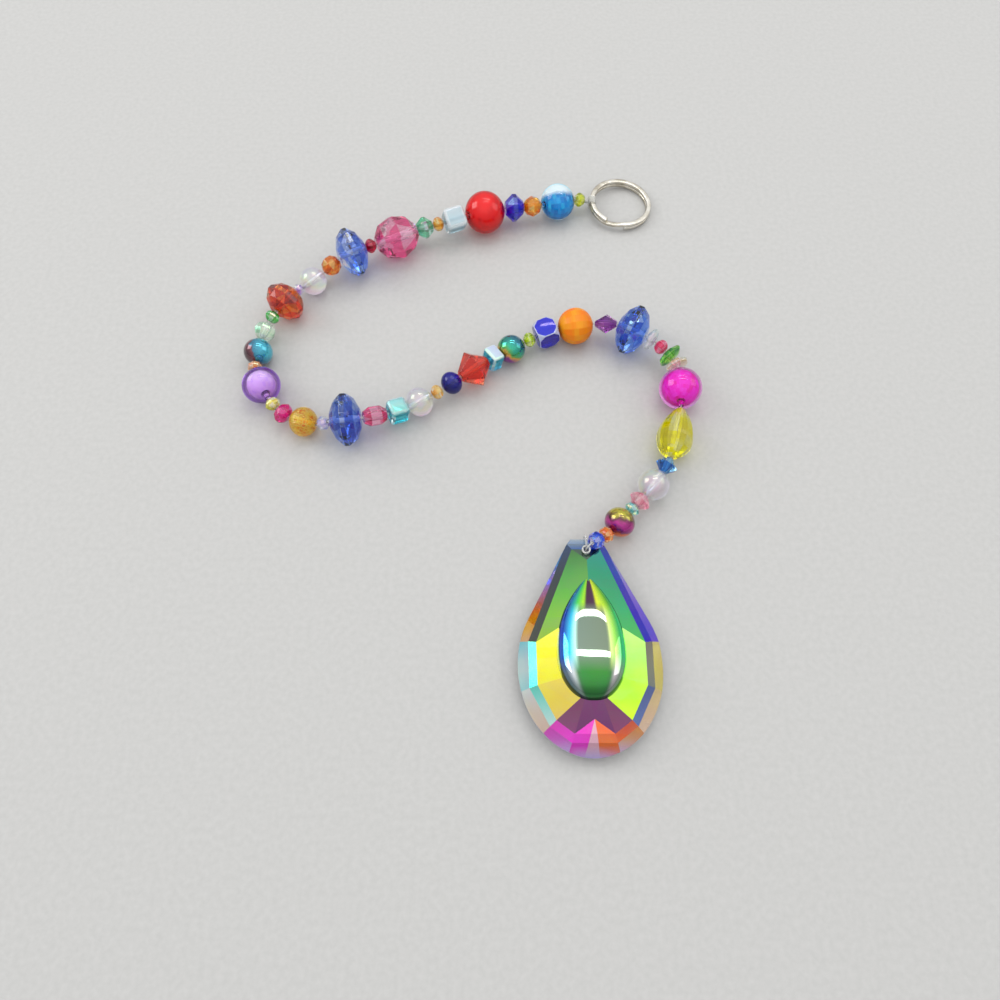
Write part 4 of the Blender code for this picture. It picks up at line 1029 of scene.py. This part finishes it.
# the tints hold the coat's colours and the cabochon's painted glows
tint = add(tree, "Attribute", attribute_name="coat_and_glow_tint")
coords = add(tree, "TexCoord")
bloom = add(tree, "TexNoise", {"Vector": coords.outputs["Object"], "Scale": 120.0, "Detail": 2.0})
hue = add(tree, "MapRange", {"Value": bloom, "To Min": 0.47, "To Max": 0.53})
drifted = add(tree, "HueSaturation", {"Hue": hue, "Saturation": 1.05, "Color": tint})
feed(shader, {"Base Color": drifted, "Metallic": tint.outputs["Alpha"]})
hand_over(drop, "aurora_crystal", crystal, "crystal_drop")

# Floor, lights and camera
# A pale matt board under soft light that is brightest overhead: a broad soft panel on either side, and
# two long lamps beyond the object that show as white bars on everything round.
bpy.ops.mesh.primitive_plane_add(size=3.0)
floor = new_piece("floor")
bpy.ops.mesh.subdivide(number_cuts=8)
bpy.ops.object.mode_set(mode="OBJECT")
board, tree, shader = surface("matt_pale_board", {"Roughness": 0.7})
coords = add(tree, "TexCoord")
fleck = add(tree, "TexNoise", {"Vector": coords.outputs["Object"], "Scale": 700.0, "Detail": 3.0})
pale = add(tree, "ValToRGB", {"Fac": fleck}, stops=((0.3, "AFAEAB"), (0.7, "B5B4B1")))
feed(shader, {"Base Color": pale})
floor.data.materials.append(board)

world = bpy.data.worlds.new("studio")
bpy.context.scene.world = world
world.use_nodes = True
tree = world.node_tree
direction = add(tree, "TexCoord")
split = add(tree, "SeparateXYZ", {0: direction.outputs["Generated"]})
SKY = ((0.0, "9C9CA0"), (0.5, "C6C7CB"), (0.75, "ECEEF0"), (1.0, "FFFFFF"))
sky = add(tree, "ValToRGB", {"Fac": split.outputs["Z"]}, stops=SKY)
feed(tree.nodes["Background"], {"Color": sky, "Strength": 1.45})

LAMP_DISTANCE = 0.8
Lamp = namedtuple("Lamp", "name lean aside length depth power")
LAMPS = (
    Lamp("long_lamp_over", 23, 0.12, 0.5, 0.045, 0.6),
    Lamp("long_lamp_beyond", 41, 0.09, 0.45, 0.04, 0.5),
    Lamp("broad_lamp_left", 28, -1.4, 0.7, 0.7, 5.5),
    Lamp("broad_lamp_right", 20, 1.5, 0.8, 0.8, 2.5),
)
aim = Vector((DROP_X, drop_low.y + CABOCHON_START + CABOCHON_LENGTH / 2, CABOCHON_TOP))
for lamp in LAMPS:
    angle = math.radians(lamp.lean)
    light = bpy.data.lights.new(lamp.name, "AREA")
    light.shape = "RECTANGLE"
    light.size = lamp.length
    light.size_y = lamp.depth
    light.energy = lamp.power
    fixture = bpy.data.objects.new(lamp.name, light)
    bpy.context.scene.collection.objects.link(fixture)
    away = Vector((lamp.aside, math.sin(angle), math.cos(angle))) * LAMP_DISTANCE
    fixture.location = aim + away
    fixture.rotation_euler = away.to_track_quat("Z", "X").to_euler()
    if lamp.length > 2 * lamp.depth:
        fixture.rotation_euler = Euler((-angle, 0, 0))

# The photograph looks down at 65 degrees from 197 mm above the table
CAMERA_PLACE = Vector((8.8, -114.57, 197.0)) * MM
camera_data = bpy.data.cameras.new("camera")
camera_data.lens = 28.8
camera_data.sensor_width = 36.0
camera_data.clip_start = 0.01
camera = bpy.data.objects.new("camera", camera_data)
bpy.context.scene.collection.objects.link(camera)
camera.location = CAMERA_PLACE
camera.rotation_euler = Euler((math.radians(24.8), 0, 0))
bpy.context.scene.camera = camera
bpy.context.scene.view_settings.view_transform = "Standard"
